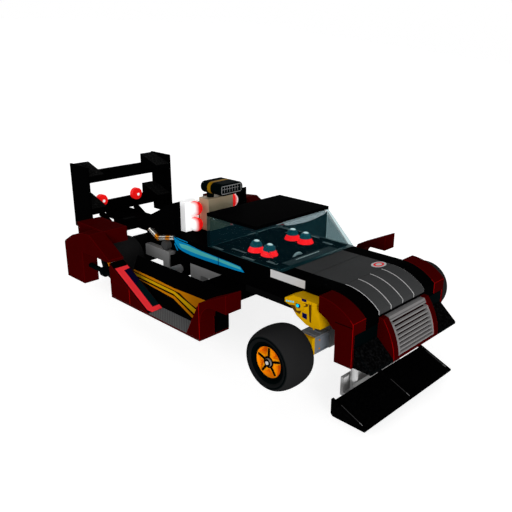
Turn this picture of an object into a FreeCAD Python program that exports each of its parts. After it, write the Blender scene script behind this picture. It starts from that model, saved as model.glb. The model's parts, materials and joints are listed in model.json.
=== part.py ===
import FreeCAD, Part
import Sketcher
import math
import os
import re

# Open wheel racing car, a toy built of plastic bricks.
# +X points to the nose, +Y to the car's left, +Z up.
# The pieces are drawn level, with x = 0 and z = 0 at the hood's front lip, and are then set down
# on the floor as the toy stands: on its front wing and its rear wheels.

V = FreeCAD.Vector
doc = FreeCAD.newDocument("racing_car")
sheet = doc.addObject("Spreadsheet::Sheet", "Dims")

# Driving dimensions in millimetres. A name that ends in _n counts studs of the brick grid.
DIMENSIONS = {
    "stud": 8.0,
    "plate": 3.2,
    "seam": 0.1,
    "wall": 1.2,
    "hood_half_n": 2.0,
    "body_half_n": 3.0,
    "slope_len_n": 2.0,
    "deck_len_n": 2.0,
    "scuttle_len_n": 1.2,
    "screen_len_n": 1.9,
    "roof_len_n": 3.9,
    "tail_len_n": 3.0,
    "hood_rise": 8.0,
    "lip_rise": 1.6,
    "cabin_rise": 16.0,
    "glass_wall": 1.0,
    "roof_thick": 1.6,
    "sill_front_n": 4.5,
    "sill_len_n": 3.4,
    "sill_drop": 3.0,
    "fender_width_n": 1.0,
    "fender_drop": 16.3,
    "arch_radius": 14.7,
    "brow_drop": 8.4,
    "nose_drop": 16.4,
    "nose_jut": 7.9,
    "nose_lip": 2.2,
    "nose_crest": 0.9,
    "chin_lip": 1.0,
    "grille_half": 12.8,
    "grille_frame": 3.2,
    "grille_depth": 2.6,
    "louvre_pitch": 1.52,
    "louvre_thick": 0.7,
    "grille_rim": 1.0,
    "wing_half_n": 4.0,
    "wing_front_n": 0.97,
    "wing_chord_n": 2.0,
    "wing_drop": 39.6,
    "wing_rise": 7.4,
    "wing_crest": 5.9,
    "wing_edge": 0.8,
    "wing_heel": 1.0,
    "fin_thick": 1.6,
    "bracket_wall": 1.6,
    "bracket_len": 7.6,
    "bracket_half_n": 2.0,
    "bracket_drop": 1.2,
    "bracket_back_rise": 8.4,
    "bracket_front_rise": 7.2,
    "post_dia": 3.2,
    "post_inset_n": 1.5,
    "arm_width": 6.3,
    "hub_block_len": 8.0,
    "hub_block_rise": 7.2,
    "hub_block_width": 8.7,
    "knuckle_thick": 1.5,
    "tyre_dia": 24.2,
    "tyre_width": 14.8,
    "tyre_wall": 5.3,
    "tyre_flank": 2.0,
    "tyre_shoulder": 3.4,
    "tyre_crown_inset": 3.6,
    "tyre_round": 1.2,
    "rim_inset": 1.4,
    "rim_wall": 0.4,
    "dish_depth": 4.2,
    "dish_taper": 0.6,
    "spider_sink": 0.4,
    "spider_thick": 1.8,
    "spoke_half": 0.7,
    "spoke_root": 2.6,
    "hub_wall": 0.8,
    "axle_dia": 3.2,
    "bore_play": 0.06,
    "axle_drop": 12.6,
    "front_axle_n": 2.54,
    "rear_axle_n": 19.0,
    "front_track_n": 6.0,
    "rear_track_n": 3.55,
    "rear_hub_gap": 2.2,
    "carrier_len": 8.0,
    "pin_hole_dia": 4.8,
    "pod_front_n": 7.05,
    "pod_len_n": 7.95,
    "pod_inner_n": 5.0,
    "pod_ledge_n": 6.0,
    "pod_outer_n": 7.0,
    "pod_drop": 16.8,
    "pod_floor": 0.8,
    "pod_ramp_len": 30.4,
    "pod_toe_len": 8.4,
    "horn_len": 15.9,
    "horn_rise": 7.6,
    "horn_radius": 8.0,
    "strut_dia": 4.0,
    "bar_set": 12.0,
    "beam_set": 22.4,
    "bracket_set": 4.0,
    "fore_beam_len": 22.0,
    "fore_gap": 3.1,
    "fore_leg_len": 7.6,
    "aft_beam_len": 19.6,
    "aft_leg_len": 5.2,
    "beam_drop": 7.6,
    "upright_drop": 10.8,
    "frame_width": 4.8,
    "haunch_len": 40.2,
    "haunch_ramp_len": 15.8,
    "haunch_heel_len": 16.4,
    "haunch_rise": 10.0,
    "haunch_crest": 9.2,
    "haunch_tail_rise": 1.4,
    "haunch_inner_n": 4.35,
    "haunch_box_foot": 2.8,
    "rod_dia": 2.4,
    "knob_dia": 4.8,
    "knob_len": 2.4,
    "block_half": 20.8,
    "engine_len": 27.2,
    "panel_inner": 19.6,
    "panel_width": 4.8,
    "panel_step": 8.0,
    "panel_len_n": 4.0,
    "pipe_dia": 2.8,
    "pipe_gap": 0.2,
    "pot_dia": 4.6,
    "tower_len": 7.2,
    "tower_half_n": 1.0,
    "tower_rise": 16.0,
    "lamp_block_len": 5.2,
    "lamp_block_width": 8.4,
    "lamp_block_rise": 14.8,
    "lamp_dia": 6.8,
    "lamp_len": 4.6,
    "lamp_pitch": 8.0,
    "scoop_len": 15.6,
    "scoop_reach": 7.6,
    "scoop_half": 7.4,
    "scoop_lift": 2.4,
    "scoop_rise": 5.7,
    "scoop_round": 2.6,
    "band_set": 7.0,
    "band_len": 2.2,
    "band_thick": 0.35,
    "foot_dia": 3.6,
    "guard_width": 7.2,
    "guard_foot": 3.6,
    "guard_rise": 9.5,
    "tail_front_n": 22.65,
    "tail_chord": 18.2,
    "tail_half": 28.1,
    "tail_skin": 1.2,
    "tail_top": 31.6,
    "tail_foot": 4.4,
    "fairing_inner": 17.6,
    "fairing_rise": 8.0,
    "fairing_lip": 3.0,
    "fairing_gap": 18.0,
    "tail_bar_rise": 7.0,
    "tail_bar_thick": 2.0,
    "tail_bar_gap": 18.8,
    "tail_lamp_dia": 7.0,
    "tail_lamp_len": 2.6,
    "brace_dia": 3.6,
    "brace_set": 3.6,
    "brace_half_n": 1.9,
    "ring_rise": 2.2,
    "dome_dia": 5.6,
    "dome_front_n": 7.55,
    "dome_side_n": 1.5,
    "wheel_ring_dia": 7.6,
    "wheel_ring_wire": 1.4,
}
for row, (alias, number) in enumerate(DIMENSIONS.items(), start=1):
    sheet.set("A%d" % row, alias)
    sheet.set("B%d" % row, str(number))
    sheet.setAlias("B%d" % row, alias)
doc.recompute()

WORD = re.compile(r"\b[a-z][a-z_]*\b")
FUNCTIONS = ("sqrt", "abs", "min", "max", "sin", "cos", "tan", "atan")
NODES = []


def bound(formula):
    """Write a formula in the sheet's names as an expression on its cells."""
    def cell(word):
        name = word.group()
        return name if name in FUNCTIONS else "Dims." + name
    return WORD.sub(cell, str(formula))


def size(formula):
    """Work out a formula in the sheet's names."""
    answer = sheet.evalExpression(bound(formula))
    return float(getattr(answer, "Value", answer))


def plus(*terms):
    return "(" + " + ".join(str(term) for term in terms) + ")"


def minus(first, *rest):
    return "(" + str(first) + "".join(" - (%s)" % term for term in rest) + ")"


def studs(count):
    return "(%s * stud)" % count


def set_base(thing, x="0", y="0", z="0"):
    for axis, formula in (("x", x), ("y", y), ("z", z)):
        thing.setExpression(".Placement.Base." + axis, bound(formula))


def mirror_span(side, low, high):
    """The y span of a piece on the left (side 1), or of its twin on the right (side -1)."""
    return (low, high) if side > 0 else ("-(%s)" % high, "-(%s)" % low)


def block(name, x, y, z):
    """A box from three spans, each a pair of formulas."""
    box = doc.addObject("Part::Box", name)
    for side, span in (("Length", x), ("Width", y), ("Height", z)):
        box.setExpression(side, bound("(%s) - (%s)" % (span[1], span[0])))
    set_base(box, x[0], y[0], z[0])
    return box


def rod(name, start, length, diameter, along="z"):
    """A cylinder from a start point of three formulas, along an axis."""
    turn = {
        "x": FreeCAD.Rotation(V(0, 1, 0), 90),
        "y": FreeCAD.Rotation(V(1, 0, 0), -90),
        "z": FreeCAD.Rotation(),
    }[along]
    cylinder = doc.addObject("Part::Cylinder", name)
    cylinder.Placement = FreeCAD.Placement(V(), turn)
    cylinder.setExpression("Radius", bound("(%s) / 2" % diameter))
    cylinder.setExpression("Height", bound(length))
    set_base(cylinder, *start)
    return cylinder


def cone(name, start, rise, foot_dia, top_dia):
    """An upright cone or taper from a start point of three formulas."""
    taper = doc.addObject("Part::Cone", name)
    taper.setExpression("Radius1", bound("(%s) / 2" % foot_dia))
    taper.setExpression("Radius2", bound("(%s) / 2" % top_dia))
    taper.setExpression("Height", bound(rise))
    set_base(taper, *start)
    return taper


def slant_rod(name, start, end, diameter):
    """A cylinder between two points that share one y."""
    run = "((%s) - (%s))" % (end[0], start[0])
    climb = "((%s) - (%s))" % (end[2], start[2])
    cylinder = doc.addObject("Part::Cylinder", name)
    angle = math.degrees(math.atan2(size(run), size(climb)))
    cylinder.Placement = FreeCAD.Placement(V(), FreeCAD.Rotation(V(0, 1, 0), angle))
    cylinder.setExpression("Radius", bound("(%s) / 2" % diameter))
    cylinder.setExpression("Height", bound("sqrt(%s^2 + %s^2)" % (run, climb)))
    set_base(cylinder, *start)
    return cylinder


def rounded(name, base, radius, chosen):
    """The base with a fillet on each edge that the test picks."""
    doc.recompute()
    fillet = doc.addObject("Part::Fillet", name)
    fillet.Base = base
    edges = [index for index, edge in enumerate(base.Shape.Edges, start=1) if chosen(edge)]
    fillet.Edges = [(index, size(radius), size(radius)) for index in edges]
    return fillet


def cut(name, base, *tools):
    for count, tool in enumerate(tools):
        piece = doc.addObject("Part::Cut", "%s_cut_%d" % (name, count))
        piece.Base = base
        piece.Tool = tool
        base = piece
    return base


def fuse(name, *pieces):
    union = doc.addObject("Part::MultiFuse", name)
    union.Shapes = list(pieces)
    union.Refine = True
    return union


def common(name, *pieces):
    overlap = doc.addObject("Part::MultiCommon", name)
    overlap.Shapes = list(pieces)
    return overlap


def outline(body, name, role, points):
    """A closed sketch of straight lines on one of the body's own planes, each corner bound."""
    plane = [feature for feature in body.Origin.OriginFeatures if feature.Role == role][0]
    sketch = body.newObject("Sketcher::SketchObject", name)
    sketch.AttachmentSupport = [(plane, "")]
    sketch.MapMode = "FlatFace"
    corners = [V(size(u), size(v), 0) for u, v in points]
    for first, second in zip(corners, corners[1:] + corners[:1]):
        sketch.addGeometry(Part.LineSegment(first, second))
    count = len(points)
    for index in range(count):
        sketch.addConstraint(Sketcher.Constraint("Coincident", index, 2, (index + 1) % count, 1))
    for index, (u, v) in enumerate(points):
        start = corners[index]
        for kind, formula, value in (("DistanceX", u, start.x), ("DistanceY", v, start.y)):
            number = sketch.addConstraint(Sketcher.Constraint(kind, -1, 1, index, 1, value))
            sketch.setExpression("Constraints[%d]" % number, bound(formula))
    return sketch


def side_plate(name, y, points):
    """A profile in x and z, padded across the span y."""
    body = doc.addObject("PartDesign::Body", name)
    pad = body.newObject("PartDesign::Pad", name + "_pad")
    pad.Profile = outline(body, name + "_sketch", "XZ_Plane", points)
    pad.setExpression("Length", bound("(%s) - (%s)" % (y[1], y[0])))
    pad.Reversed = True
    set_base(body, y=y[0])
    return body


def end_plate(name, x, points):
    """A profile in y and z, padded along the span x."""
    body = doc.addObject("PartDesign::Body", name)
    pad = body.newObject("PartDesign::Pad", name + "_pad")
    pad.Profile = outline(body, name + "_sketch", "YZ_Plane", points)
    pad.setExpression("Length", bound("(%s) - (%s)" % (x[1], x[0])))
    set_base(body, x=x[0])
    return body


def turned(name, centre, points):
    """A profile of y and radius, turned about an axis along y through the centre."""
    body = doc.addObject("PartDesign::Body", name)
    sketch = outline(body, name + "_sketch", "XY_Plane", [(radius, y) for y, radius in points])
    turn = body.newObject("PartDesign::Revolution", name + "_turn")
    turn.Profile = sketch
    turn.ReferenceAxis = (sketch, ["V_Axis"])
    turn.Angle = 360
    set_base(body, *centre)
    return body


def node(label, *pieces):
    """One sub-part of the toy: its pieces, set down on the floor later with all the others."""
    group = doc.addObject("Part::Compound", label)
    group.Label = label
    group.Links = list(pieces)
    NODES.append(group)
    return group


# Formulas that several pieces share
SLOPE_BACK = "-(slope_len_n * stud)"
DECK_BACK = "-((slope_len_n + deck_len_n) * stud)"
SCREEN_FOOT = "-((slope_len_n + deck_len_n + scuttle_len_n) * stud)"
ROOF_FRONT = "-((slope_len_n + deck_len_n + scuttle_len_n + screen_len_n) * stud)"
ROOF_BACK = "-((slope_len_n + deck_len_n + scuttle_len_n + screen_len_n + roof_len_n) * stud)"
TAIL_BACK = (
    "-((slope_len_n + deck_len_n + scuttle_len_n + screen_len_n + roof_len_n + tail_len_n) * stud)"
)
HOOD_ARC = "(((slope_len_n * stud)^2 + (hood_rise - lip_rise)^2) / (2 * (hood_rise - lip_rise)))"
HOOD_HALF = "(hood_half_n * stud)"
BODY_HALF = "(body_half_n * stud)"
BODY_SIDE = minus(BODY_HALF, "seam")
FENDER_HALF = "((body_half_n + fender_width_n) * stud)"
CABIN_TOP = "(hood_rise + cabin_rise)"
FRONT_AXLE = ("-(front_axle_n * stud)", "-axle_drop")
REAR_AXLE = ("-(rear_axle_n * stud)", "-axle_drop")
BORE = "(axle_dia + 2 * bore_play)"
WING_FRONT = studs("wing_front_n")
WING_BACK = studs("(wing_front_n - wing_chord_n)")
SHELF = "-(wing_drop + bracket_drop)"
POD_FRONT = studs("-pod_front_n")
POD_BACK = studs("-(pod_front_n + pod_len_n)")
BEAM_BACK = minus(POD_FRONT, "beam_set")
POD_OUTER = studs("pod_outer_n")
POD_LEDGE = studs("pod_ledge_n")
POD_FLOOR = "(pod_floor - pod_drop)"
TAIL_FRONT = studs("-tail_front_n")
WING_SKIN = minus("tail_half", "tail_skin")
TAIL_END = "-(tail_front_n * stud + tail_chord)"
SIDES = ((1, "left"), (-1, "right"))

# Outline of a front arm from its tail round over the top, in studs along and up from the front axle
ARM_OUTLINE = (
    (-1.76, 1.74), (-1.21, 2.01), (0.36, 2.0), (0.38, 1.39), (0.55, 0.76), (0.04, 0.69),
    (-0.36, 0.72), (-0.96, 1.01), (-1.36, 1.42), (-1.76, 1.52),
)


def both(half):
    """A span of y from one side to the other."""
    return ("-(%s)" % half, half)


def side_strip(side):
    """The one stud wide strip of the body outside the hood."""
    return mirror_span(side, plus(HOOD_HALF, "seam"), BODY_SIDE)


def curved_slope(name, y, foot="0"):
    """A brick whose top falls in an arc from the hood's height to its front lip."""
    blank = block(name + "_blank", (SLOPE_BACK, "0"), y, (foot, "hood_rise"))
    centre = (SLOPE_BACK, y[0], minus("hood_rise", HOOD_ARC))
    roller = rod(name + "_arc", centre, minus(y[1], y[0]), "2 * " + HOOD_ARC, "y")
    return common(name, blank, roller)


def hood():
    rows = []
    for index in range(4):
        low = "((%d / 2 - 1) * hood_half_n * stud + seam)" % index
        high = "((%d / 2 - 1) * hood_half_n * stud - seam)" % (index + 1)
        rows.append(curved_slope("hood_slope_%d" % index, (low, high)))
    node("hood_slopes", *rows)
    span = both(minus(HOOD_HALF, "seam"))
    height = ("hood_rise - plate", "hood_rise")
    deck = block("deck", (plus(DECK_BACK, "seam"), minus(SLOPE_BACK, "seam")), span, height)
    scuttle = block("scuttle", (minus(SCREEN_FOOT, "stud"), minus(DECK_BACK, "seam")), span, height)
    node("hood_deck", deck, scuttle)
    edges = [curved_slope("hood_edge_" + label, side_strip(side)) for side, label in SIDES]
    node("hood_edges", *edges)


def tub():
    """The hollow body: side walls, floor, tail deck, cockpit ledges and the cross beams below."""
    floor = block("floor", (TAIL_BACK, "-seam"), both(BODY_SIDE), ("-plate", "0"))
    deck = block(
        "tail_deck", (TAIL_BACK, minus(ROOF_BACK, "seam")), both(HOOD_HALF), ("0", "hood_rise"))
    beams = block(
        "outrigger", (BEAM_BACK, minus(POD_FRONT, "stud")), both(minus(studs("pod_inner_n"), "seam")),
        ("-upright_drop", "-plate"))
    walls = []
    for side, label in SIDES:
        length = (TAIL_BACK, minus(SLOPE_BACK, "seam"))
        walls.append(block("wall_" + label, length, side_strip(side), ("0", "hood_rise")))
        ledge = mirror_span(side, studs("(dome_side_n - 1 / 2)"), studs("(dome_side_n + 1 / 2)"))
        ledge_length = (studs("-(dome_front_n + 3 / 2)"), studs("-(dome_front_n - 1 / 2)"))
        walls.append(block("ledge_" + label, ledge_length, ledge, ("0", "hood_rise - seam")))
        upright = (
            plus(POD_BACK, "bracket_set"), minus(BEAM_BACK, "seam", "fore_beam_len", "fore_gap"))
        strip = mirror_span(side, minus(BODY_SIDE, "frame_width"), BODY_SIDE)
        walls.append(block("upright_" + label, upright, strip, ("-upright_drop", "-plate")))
    node("body_tub", fuse("tub", floor, deck, beams, *walls))
    sills = []
    for side, label in SIDES:
        for half in range(2):
            front = "-((sill_front_n + %d * sill_len_n / 2) * stud + seam)" % half
            back = "-((sill_front_n + %d * sill_len_n / 2) * stud - seam)" % (half + 1)
            height = ("-(plate + sill_drop)", "-(plate + seam)")
            sills.append(block("sill_%s_%d" % (label, half), (back, front), side_strip(side), height))
    node("body_sills", *sills)


def fender(side, label):
    """A curved crown over the wheel and the thin panel that hangs from it."""
    span = mirror_span(side, plus(BODY_HALF, "seam"), minus(FENDER_HALF, "seam"))
    crown = curved_slope(label + "_crown", span, "-plate")
    centre = (FRONT_AXLE[0], span[0], FRONT_AXLE[1])
    arch = rod(label + "_arch", centre, minus(span[1], span[0]), "2 * arch_radius", "y")
    outer = mirror_span(side, minus(FENDER_HALF, "seam", "wall"), minus(FENDER_HALF, "seam"))
    panel = block(label + "_panel", ("-stud", "0"), outer, ("-fender_drop", "0"))
    node(label, fuse(label + "_shape", cut(label + "_roof", crown, arch), panel))


def nose_front(drop):
    """How far forward the rounded nose reaches at a depth below the hood's lip."""
    share = "((nose_drop - (%s)) / (nose_drop - nose_crest))" % drop
    return "(nose_jut - (nose_jut - nose_lip) * %s^2)" % share


def nose():
    """The bumper blocks, the sloped chins, the rounded surround and the louvred grille."""
    brows = []
    chins = []
    for side, label in SIDES:
        inner = "(grille_half + grille_frame + seam)"
        span = mirror_span(side, inner, minus(FENDER_HALF, "seam", "wall", "seam"))
        back = "(seam - stud)"
        brows.append(block("brow_" + label, (back, "0"), span, ("-brow_drop", "-(plate + seam)")))
        chins.append(side_plate("chin_" + label, span, [
            (back, "-(brow_drop + seam)"), ("0", "-(brow_drop + seam)"),
            ("nose_jut", "chin_lip - nose_drop"), ("nose_jut", "-nose_drop"), (back, "-nose_drop"),
        ]))
    node("bumper_brows", *brows)
    node("bumper_chins", *chins)
    steps = ["nose_crest + (nose_drop - nose_crest) * %d / 6" % step for step in range(7)]
    curve = [(nose_front(drop), "-(%s)" % drop) for drop in steps]
    surround = side_plate("surround", both("(grille_half + grille_frame)"), [
        ("-stud", "-(plate + seam)"), ("seam", "-(plate + seam)"), ("seam", "-seam - nose_crest / 2"),
        *curve, ("-stud", "-nose_drop"),
    ])
    sill = "nose_drop - wall"
    recess = [(x + " - grille_depth", z) for x, z in curve[:-1]]
    foot = recess[-1][0]
    window = side_plate("surround_window", both("grille_half"), [
        ("nose_jut + wall", "0"), ("0", "0"), *recess, (foot, "-(%s)" % sill),
        ("nose_jut + wall", "-(%s)" % sill),
    ])
    node("grille_surround", cut("surround_open", surround, window))
    grille([*recess[1:], (foot, "seam - (%s)" % sill)])


def grille(recess):
    """Slanted louvre blades, row under row down the rounded nose, on one backing sheet."""
    width = both("(grille_half - seam)")
    back = [(x + " + seam", z) for x, z in recess]
    front = [(x + " + seam + louvre_thick", z) for x, z in reversed(recess)]
    blades = [side_plate("grille_back", width, back + front)]
    drops = "(nose_drop - wall - seam - louvre_thick - nose_crest)"
    rows = 1 + int(size(drops + " / louvre_pitch - 3 / 4"))
    for row in range(rows):
        drop = "(nose_crest + louvre_pitch * (%d + 3 / 4))" % row
        face = nose_front(drop)
        root = face + " - grille_depth + seam"
        blades.append(side_plate("louvre_%d" % row, width, [
            (face, "-(%s)" % drop), (face, "-(%s + louvre_thick)" % drop),
            (root, "louvre_thick / 2 - (%s)" % drop), (root, "louvre_thick - (%s)" % drop),
        ]))
    rise = "(nose_crest + louvre_pitch - louvre_thick)"
    blades.append(side_plate("grille_head", width, [
        (nose_front("nose_crest"), "-nose_crest"), (nose_front(rise), "-" + rise),
        (nose_front(rise) + " - grille_depth + seam", "-" + rise),
        ("seam", "-nose_crest"),
    ]))
    for side, label in SIDES:
        rim = mirror_span(side, "(grille_half - seam - grille_rim)", "(grille_half - seam)")
        face = [(x + " + grille_depth", z) for x, z in reversed(recess)]
        blades.append(side_plate("grille_rim_" + label, rim, back + face))
    node("nose_grille", fuse("grille_shape", *blades))


def front_wing():
    """The low wing: a wedge blade between two end fins, with a keel on its middle line."""
    half = studs("wing_half_n")
    blade = side_plate("blade", both(minus(half, "fin_thick")), [
        (WING_BACK, "-wing_drop"), (WING_FRONT, "-wing_drop"), (WING_FRONT, "wing_edge - wing_drop"),
        (WING_BACK, "wing_crest - wing_drop"),
    ])
    fins = []
    for side, label in SIDES:
        span = mirror_span(side, minus(half, "fin_thick"), half)
        fins.append(side_plate("fin_" + label, span, [
            (plus(WING_BACK, "wing_heel"), "-wing_drop"), (WING_FRONT, "-wing_drop"),
            (WING_FRONT, "wing_edge - wing_drop"), (WING_BACK, "wing_rise - wing_drop"),
            (WING_BACK, "wing_heel - wing_drop"),
        ]))
    keel = side_plate("keel", both("fin_thick / 2"), [
        (WING_BACK, "-wing_drop"), (WING_FRONT, "-wing_drop"), (WING_FRONT, "wing_edge - wing_drop"),
        (WING_BACK, "wing_rise - wing_drop"),
    ])
    node("front_wing", fuse("wing", blade, keel, *fins))
    brackets()


def brackets():
    """The channel behind the wing and the two posts that hang it from the floor."""
    front = minus(WING_BACK, "seam")
    back = minus(front, "bracket_len")
    width = both(studs("bracket_half_n"))
    shelf = block("bracket_shelf", (back, front), width, (SHELF, plus(SHELF, "bracket_wall")))
    rear = block(
        "bracket_rear", (back, plus(back, "bracket_wall")), width, (SHELF, plus(SHELF, "bracket_back_rise")))
    fore = block(
        "bracket_fore", (minus(front, "bracket_wall"), front), width,
        (SHELF, plus(SHELF, "bracket_front_rise")))
    posts = []
    for side, label in SIDES:
        start = (
            "(%s + %s) / 2" % (front, back), "%d * %s" % (side, studs("post_inset_n")),
            plus(SHELF, "bracket_wall / 2"))
        posts.append(rod("post_" + label, start, "-(plate + seam) - (%s)" % start[2], "post_dia"))
    node("wing_carriers", fuse("wing_bracket", shelf, rear, fore, *posts))


def canopy_shape(name, inset, drop):
    """The canopy's outline, drawn in by an inset and let down by a drop at its foot."""
    lean = "((screen_len_n * stud) / cabin_rise)"
    foot = "(hood_rise + seam - %s)" % drop
    top = "(%s - roof_thick - %s)" % (CABIN_TOP, inset)
    back = plus(ROOF_BACK, "seam", inset)
    return side_plate(name, both(minus(BODY_SIDE, inset)), [
        (back, foot), ("%s - (1 + %s / 2) * %s" % (SCREEN_FOOT, lean, inset), foot),
        ("%s - (1 + %s / 2) * %s" % (ROOF_FRONT, lean, inset), top), (back, top),
    ])


def canopy():
    """The clear cabin shell, hollow and open below, and its black roof panel."""
    outside = canopy_shape("glass_out", "0", "0")
    inside = canopy_shape("glass_in", "glass_wall", "glass_wall")
    glass = cut("glass", outside, inside)
    node("canopy_glass", glass)
    height = ("%s - roof_thick + seam" % CABIN_TOP, CABIN_TOP)
    node("roof_panel", block("roof", (plus(ROOF_BACK, "seam"), ROOF_FRONT), both(BODY_SIDE), height))


def cockpit():
    """Two pairs of domes on red rings, the dash and the steering wheel, seen through the canopy."""
    rings = []
    domes = []
    for side, label in SIDES:
        for place in (0, 1):
            name = "%s_%d" % (label, place)
            x = studs("-(dome_front_n + %d)" % place)
            y = "%d * %s" % (side, studs("dome_side_n"))
            ring_dia = "(stud - 2 * seam)"
            rings.append(cone("ring_" + name, (x, y, "hood_rise"), "ring_rise", ring_dia, "dome_dia"))
            dome = doc.addObject("Part::Sphere", "dome_" + name)
            dome.Angle1 = 0
            dome.setExpression("Radius", bound("dome_dia / 2"))
            set_base(dome, x, y, "hood_rise + ring_rise + seam")
            domes.append(dome)
    node("cockpit_rings", *rings)
    node("cockpit_domes", *domes)
    back = "(%s - stud - seam)" % SCREEN_FOOT
    node("dash_panel", side_plate("dash", both("stud"), [
        (back, "seam"), (back, "hood_rise - seam"), (back + " - plate / 2", "hood_rise - seam"),
        (back + " - plate", "seam"),
    ]))
    hub = "(%s - plate * 7 / 8 - wall - wheel_ring_wire / 2)" % back
    centre = (hub, "0", "hood_rise / 2")
    column = rod("column", centre, "wall + wheel_ring_wire / 2", "2 * wheel_ring_wire", "x")
    loop = doc.addObject("Part::Torus", "wheel_loop")
    loop.Placement.Rotation = FreeCAD.Rotation(V(0, 1, 0), 90)
    loop.setExpression("Radius1", bound("(wheel_ring_dia - wheel_ring_wire) / 2"))
    loop.setExpression("Radius2", bound("wheel_ring_wire / 2"))
    set_base(loop, *centre)
    spoke = block(
        "wheel_spoke", (minus(hub, "wheel_ring_wire / 4"), plus(hub, "wheel_ring_wire / 4")),
        both("(wheel_ring_dia - wheel_ring_wire) / 2"),
        ("hood_rise / 2 - wheel_ring_wire / 4", "hood_rise / 2 + wheel_ring_wire / 4"))
    node("steering_wheel", fuse("steering", column, loop, spoke))


def running_gear():
    """The yellow arms on the body's side, the bored hub blocks and the plates outside them."""
    arms = []
    blocks = []
    x, z = FRONT_AXLE
    for side, label in SIDES:
        span = mirror_span(side, BODY_HALF, plus(BODY_HALF, "arm_width"))
        points = [("%s + %s * stud" % (x, along), "%s + %s * stud" % (z, up)) for along, up in ARM_OUTLINE]
        arms.append(side_plate("arm_" + label, span, points))
        inner = BODY_HALF
        middle = plus(BODY_HALF, "hub_block_width")
        outer = plus(middle, "seam", "knuckle_thick")
        length = (minus(x, "hub_block_len / 2"), plus(x, "hub_block_len / 2"))
        height = (minus(z, "hub_block_rise / 2"), plus(z, "hub_block_rise / 2"))
        spans = (("hub", inner, middle, blocks), ("knuckle", plus(middle, "seam"), outer, arms))
        for name, low, high, group in spans:
            width = mirror_span(side, low, high)
            solid = block("%s_%s_blank" % (name, label), length, width, height)
            hole = rod("%s_%s_hole" % (name, label), (x, width[0], z), minus(width[1], width[0]), BORE, "y")
            group.append(cut("%s_%s" % (name, label), solid, hole))
    node("suspension_arms", *arms)
    node("hub_blocks", *blocks)


def wheel(label, axle, track, side):
    """A balloon tyre on a dished rim, with a spoked spider in the dish."""
    outer = "(tyre_width / 2)"
    edge = "(tyre_dia / 2)"
    centre = (axle[0], "%d * %s" % (side, track), axle[1])
    rim = "(tyre_dia / 2 - tyre_wall)"
    tyre = [
        (minus(outer, "rim_inset"), rim), (outer, plus(rim, "tyre_flank")),
        (outer, minus(edge, "tyre_shoulder * 2 / 3")),
        (minus(outer, "tyre_round"), minus(edge, "tyre_round")), (minus(outer, "tyre_crown_inset"), edge),
    ]
    mirrored = [("-(%s)" % y, radius) for y, radius in reversed(tyre)]
    node("tyre_" + label, turned(label + "_tyre_solid", centre, tyre + mirrored))
    face = "(tyre_width / 2 - rim_inset)"
    lip = "(%s - rim_wall)" % rim
    dish = [
        (face, "%s - seam" % rim), ("-" + face, "%s - seam" % rim), ("-" + face, BORE + " / 2"),
        (minus(face, "dish_depth"), BORE + " / 2"), (minus(face, "dish_depth"), lip + " - dish_taper"),
        (face, lip),
    ]
    node("rim_" + label, turned(label + "_rim_solid", centre, [("%d * %s" % (side, y), r) for y, r in dish]))
    spider(label, centre, side, face, lip)


def spider(label, centre, side, face, lip):
    """Five straight spokes round a bored hub, seated on the dish's floor."""
    back = minus(face, "spider_sink", "spider_thick")
    reach = "(%s - dish_taper * (spider_sink + spider_thick) / dish_depth - seam)" % lip
    corners = []
    for spoke in range(5):
        angle = 90 + 72 * spoke
        for turn in (-1, 1):
            corners.append((
                "%s * cos(%d) + %d * spoke_half * sin(%d)" % (reach, angle, turn * -1, angle),
                "%s * sin(%d) + %d * spoke_half * cos(%d)" % (reach, angle, turn, angle),
            ))
        corners.append(("spoke_root * cos(%d)" % (angle + 36), "spoke_root * sin(%d)" % (angle + 36)))
    front = plus(back, "spider_thick")
    span = tuple("%s + %d * %s" % (centre[1], side, depth) for depth in (back, front))
    if side < 0:
        span = (span[1], span[0])
    star = side_plate(label + "_star", span, corners)
    star.setExpression(".Placement.Base.x", bound(centre[0]))
    star.setExpression(".Placement.Base.z", bound(centre[2]))
    foot = plus(minus(face, "dish_depth"), "seam")
    hub = turned(label + "_hub", centre, [
        ("%d * %s" % (side, foot), BORE + " / 2 + hub_wall"),
        ("%d * %s" % (side, minus(face, "spider_sink / 2")), BORE + " / 2 + hub_wall"),
        ("%d * %s" % (side, minus(face, "spider_sink / 2")), BORE + " / 4"),
        ("%d * %s" % (side, foot), BORE + " / 4"),
    ])
    hole = rod(
        label + "_hub_hole", (centre[0], "%s - tyre_width" % centre[1], centre[2]),
        "2 * tyre_width", BORE, "y")
    node("spider_" + label, cut(label + "_spider", fuse(label + "_spokes", star, hub), hole))


def wheels():
    for end, axle, track in (
        ("front", FRONT_AXLE, studs("front_track_n")), ("rear", REAR_AXLE, studs("rear_track_n")),
    ):
        for side, label in SIDES:
            wheel("%s_%s" % (end, label), axle, track, side)
        reach = "(%s + tyre_width / 2 - rim_inset / 2)" % track
        foot = (axle[0], "-" + reach, axle[1])
        axle_rod = rod("axle_%s_solid" % end, foot, "2 * " + reach, "axle_dia", "y")
        node("axle_" + end, axle_rod)


def carriers():
    """The bored blocks that carry the axles below the body."""
    rear_half = minus(studs("rear_track_n"), "tyre_width / 2", "rear_hub_gap")
    for label, axle, half in (("front", FRONT_AXLE, BODY_SIDE), ("rear", REAR_AXLE, rear_half)):
        x, z = axle
        length = (minus(x, "carrier_len / 2"), plus(x, "carrier_len / 2"))
        height = (minus(z, "carrier_len / 2"), "-(plate + seam)")
        solid = block(label + "_carrier_blank", length, both(half), height)
        hole = rod(label + "_carrier_hole", (x, "-(%s)" % half, z), "2 * (%s)" % half, BORE, "y")
        node("axle_carrier_" + label, cut(label + "_carrier", solid, hole))


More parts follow.
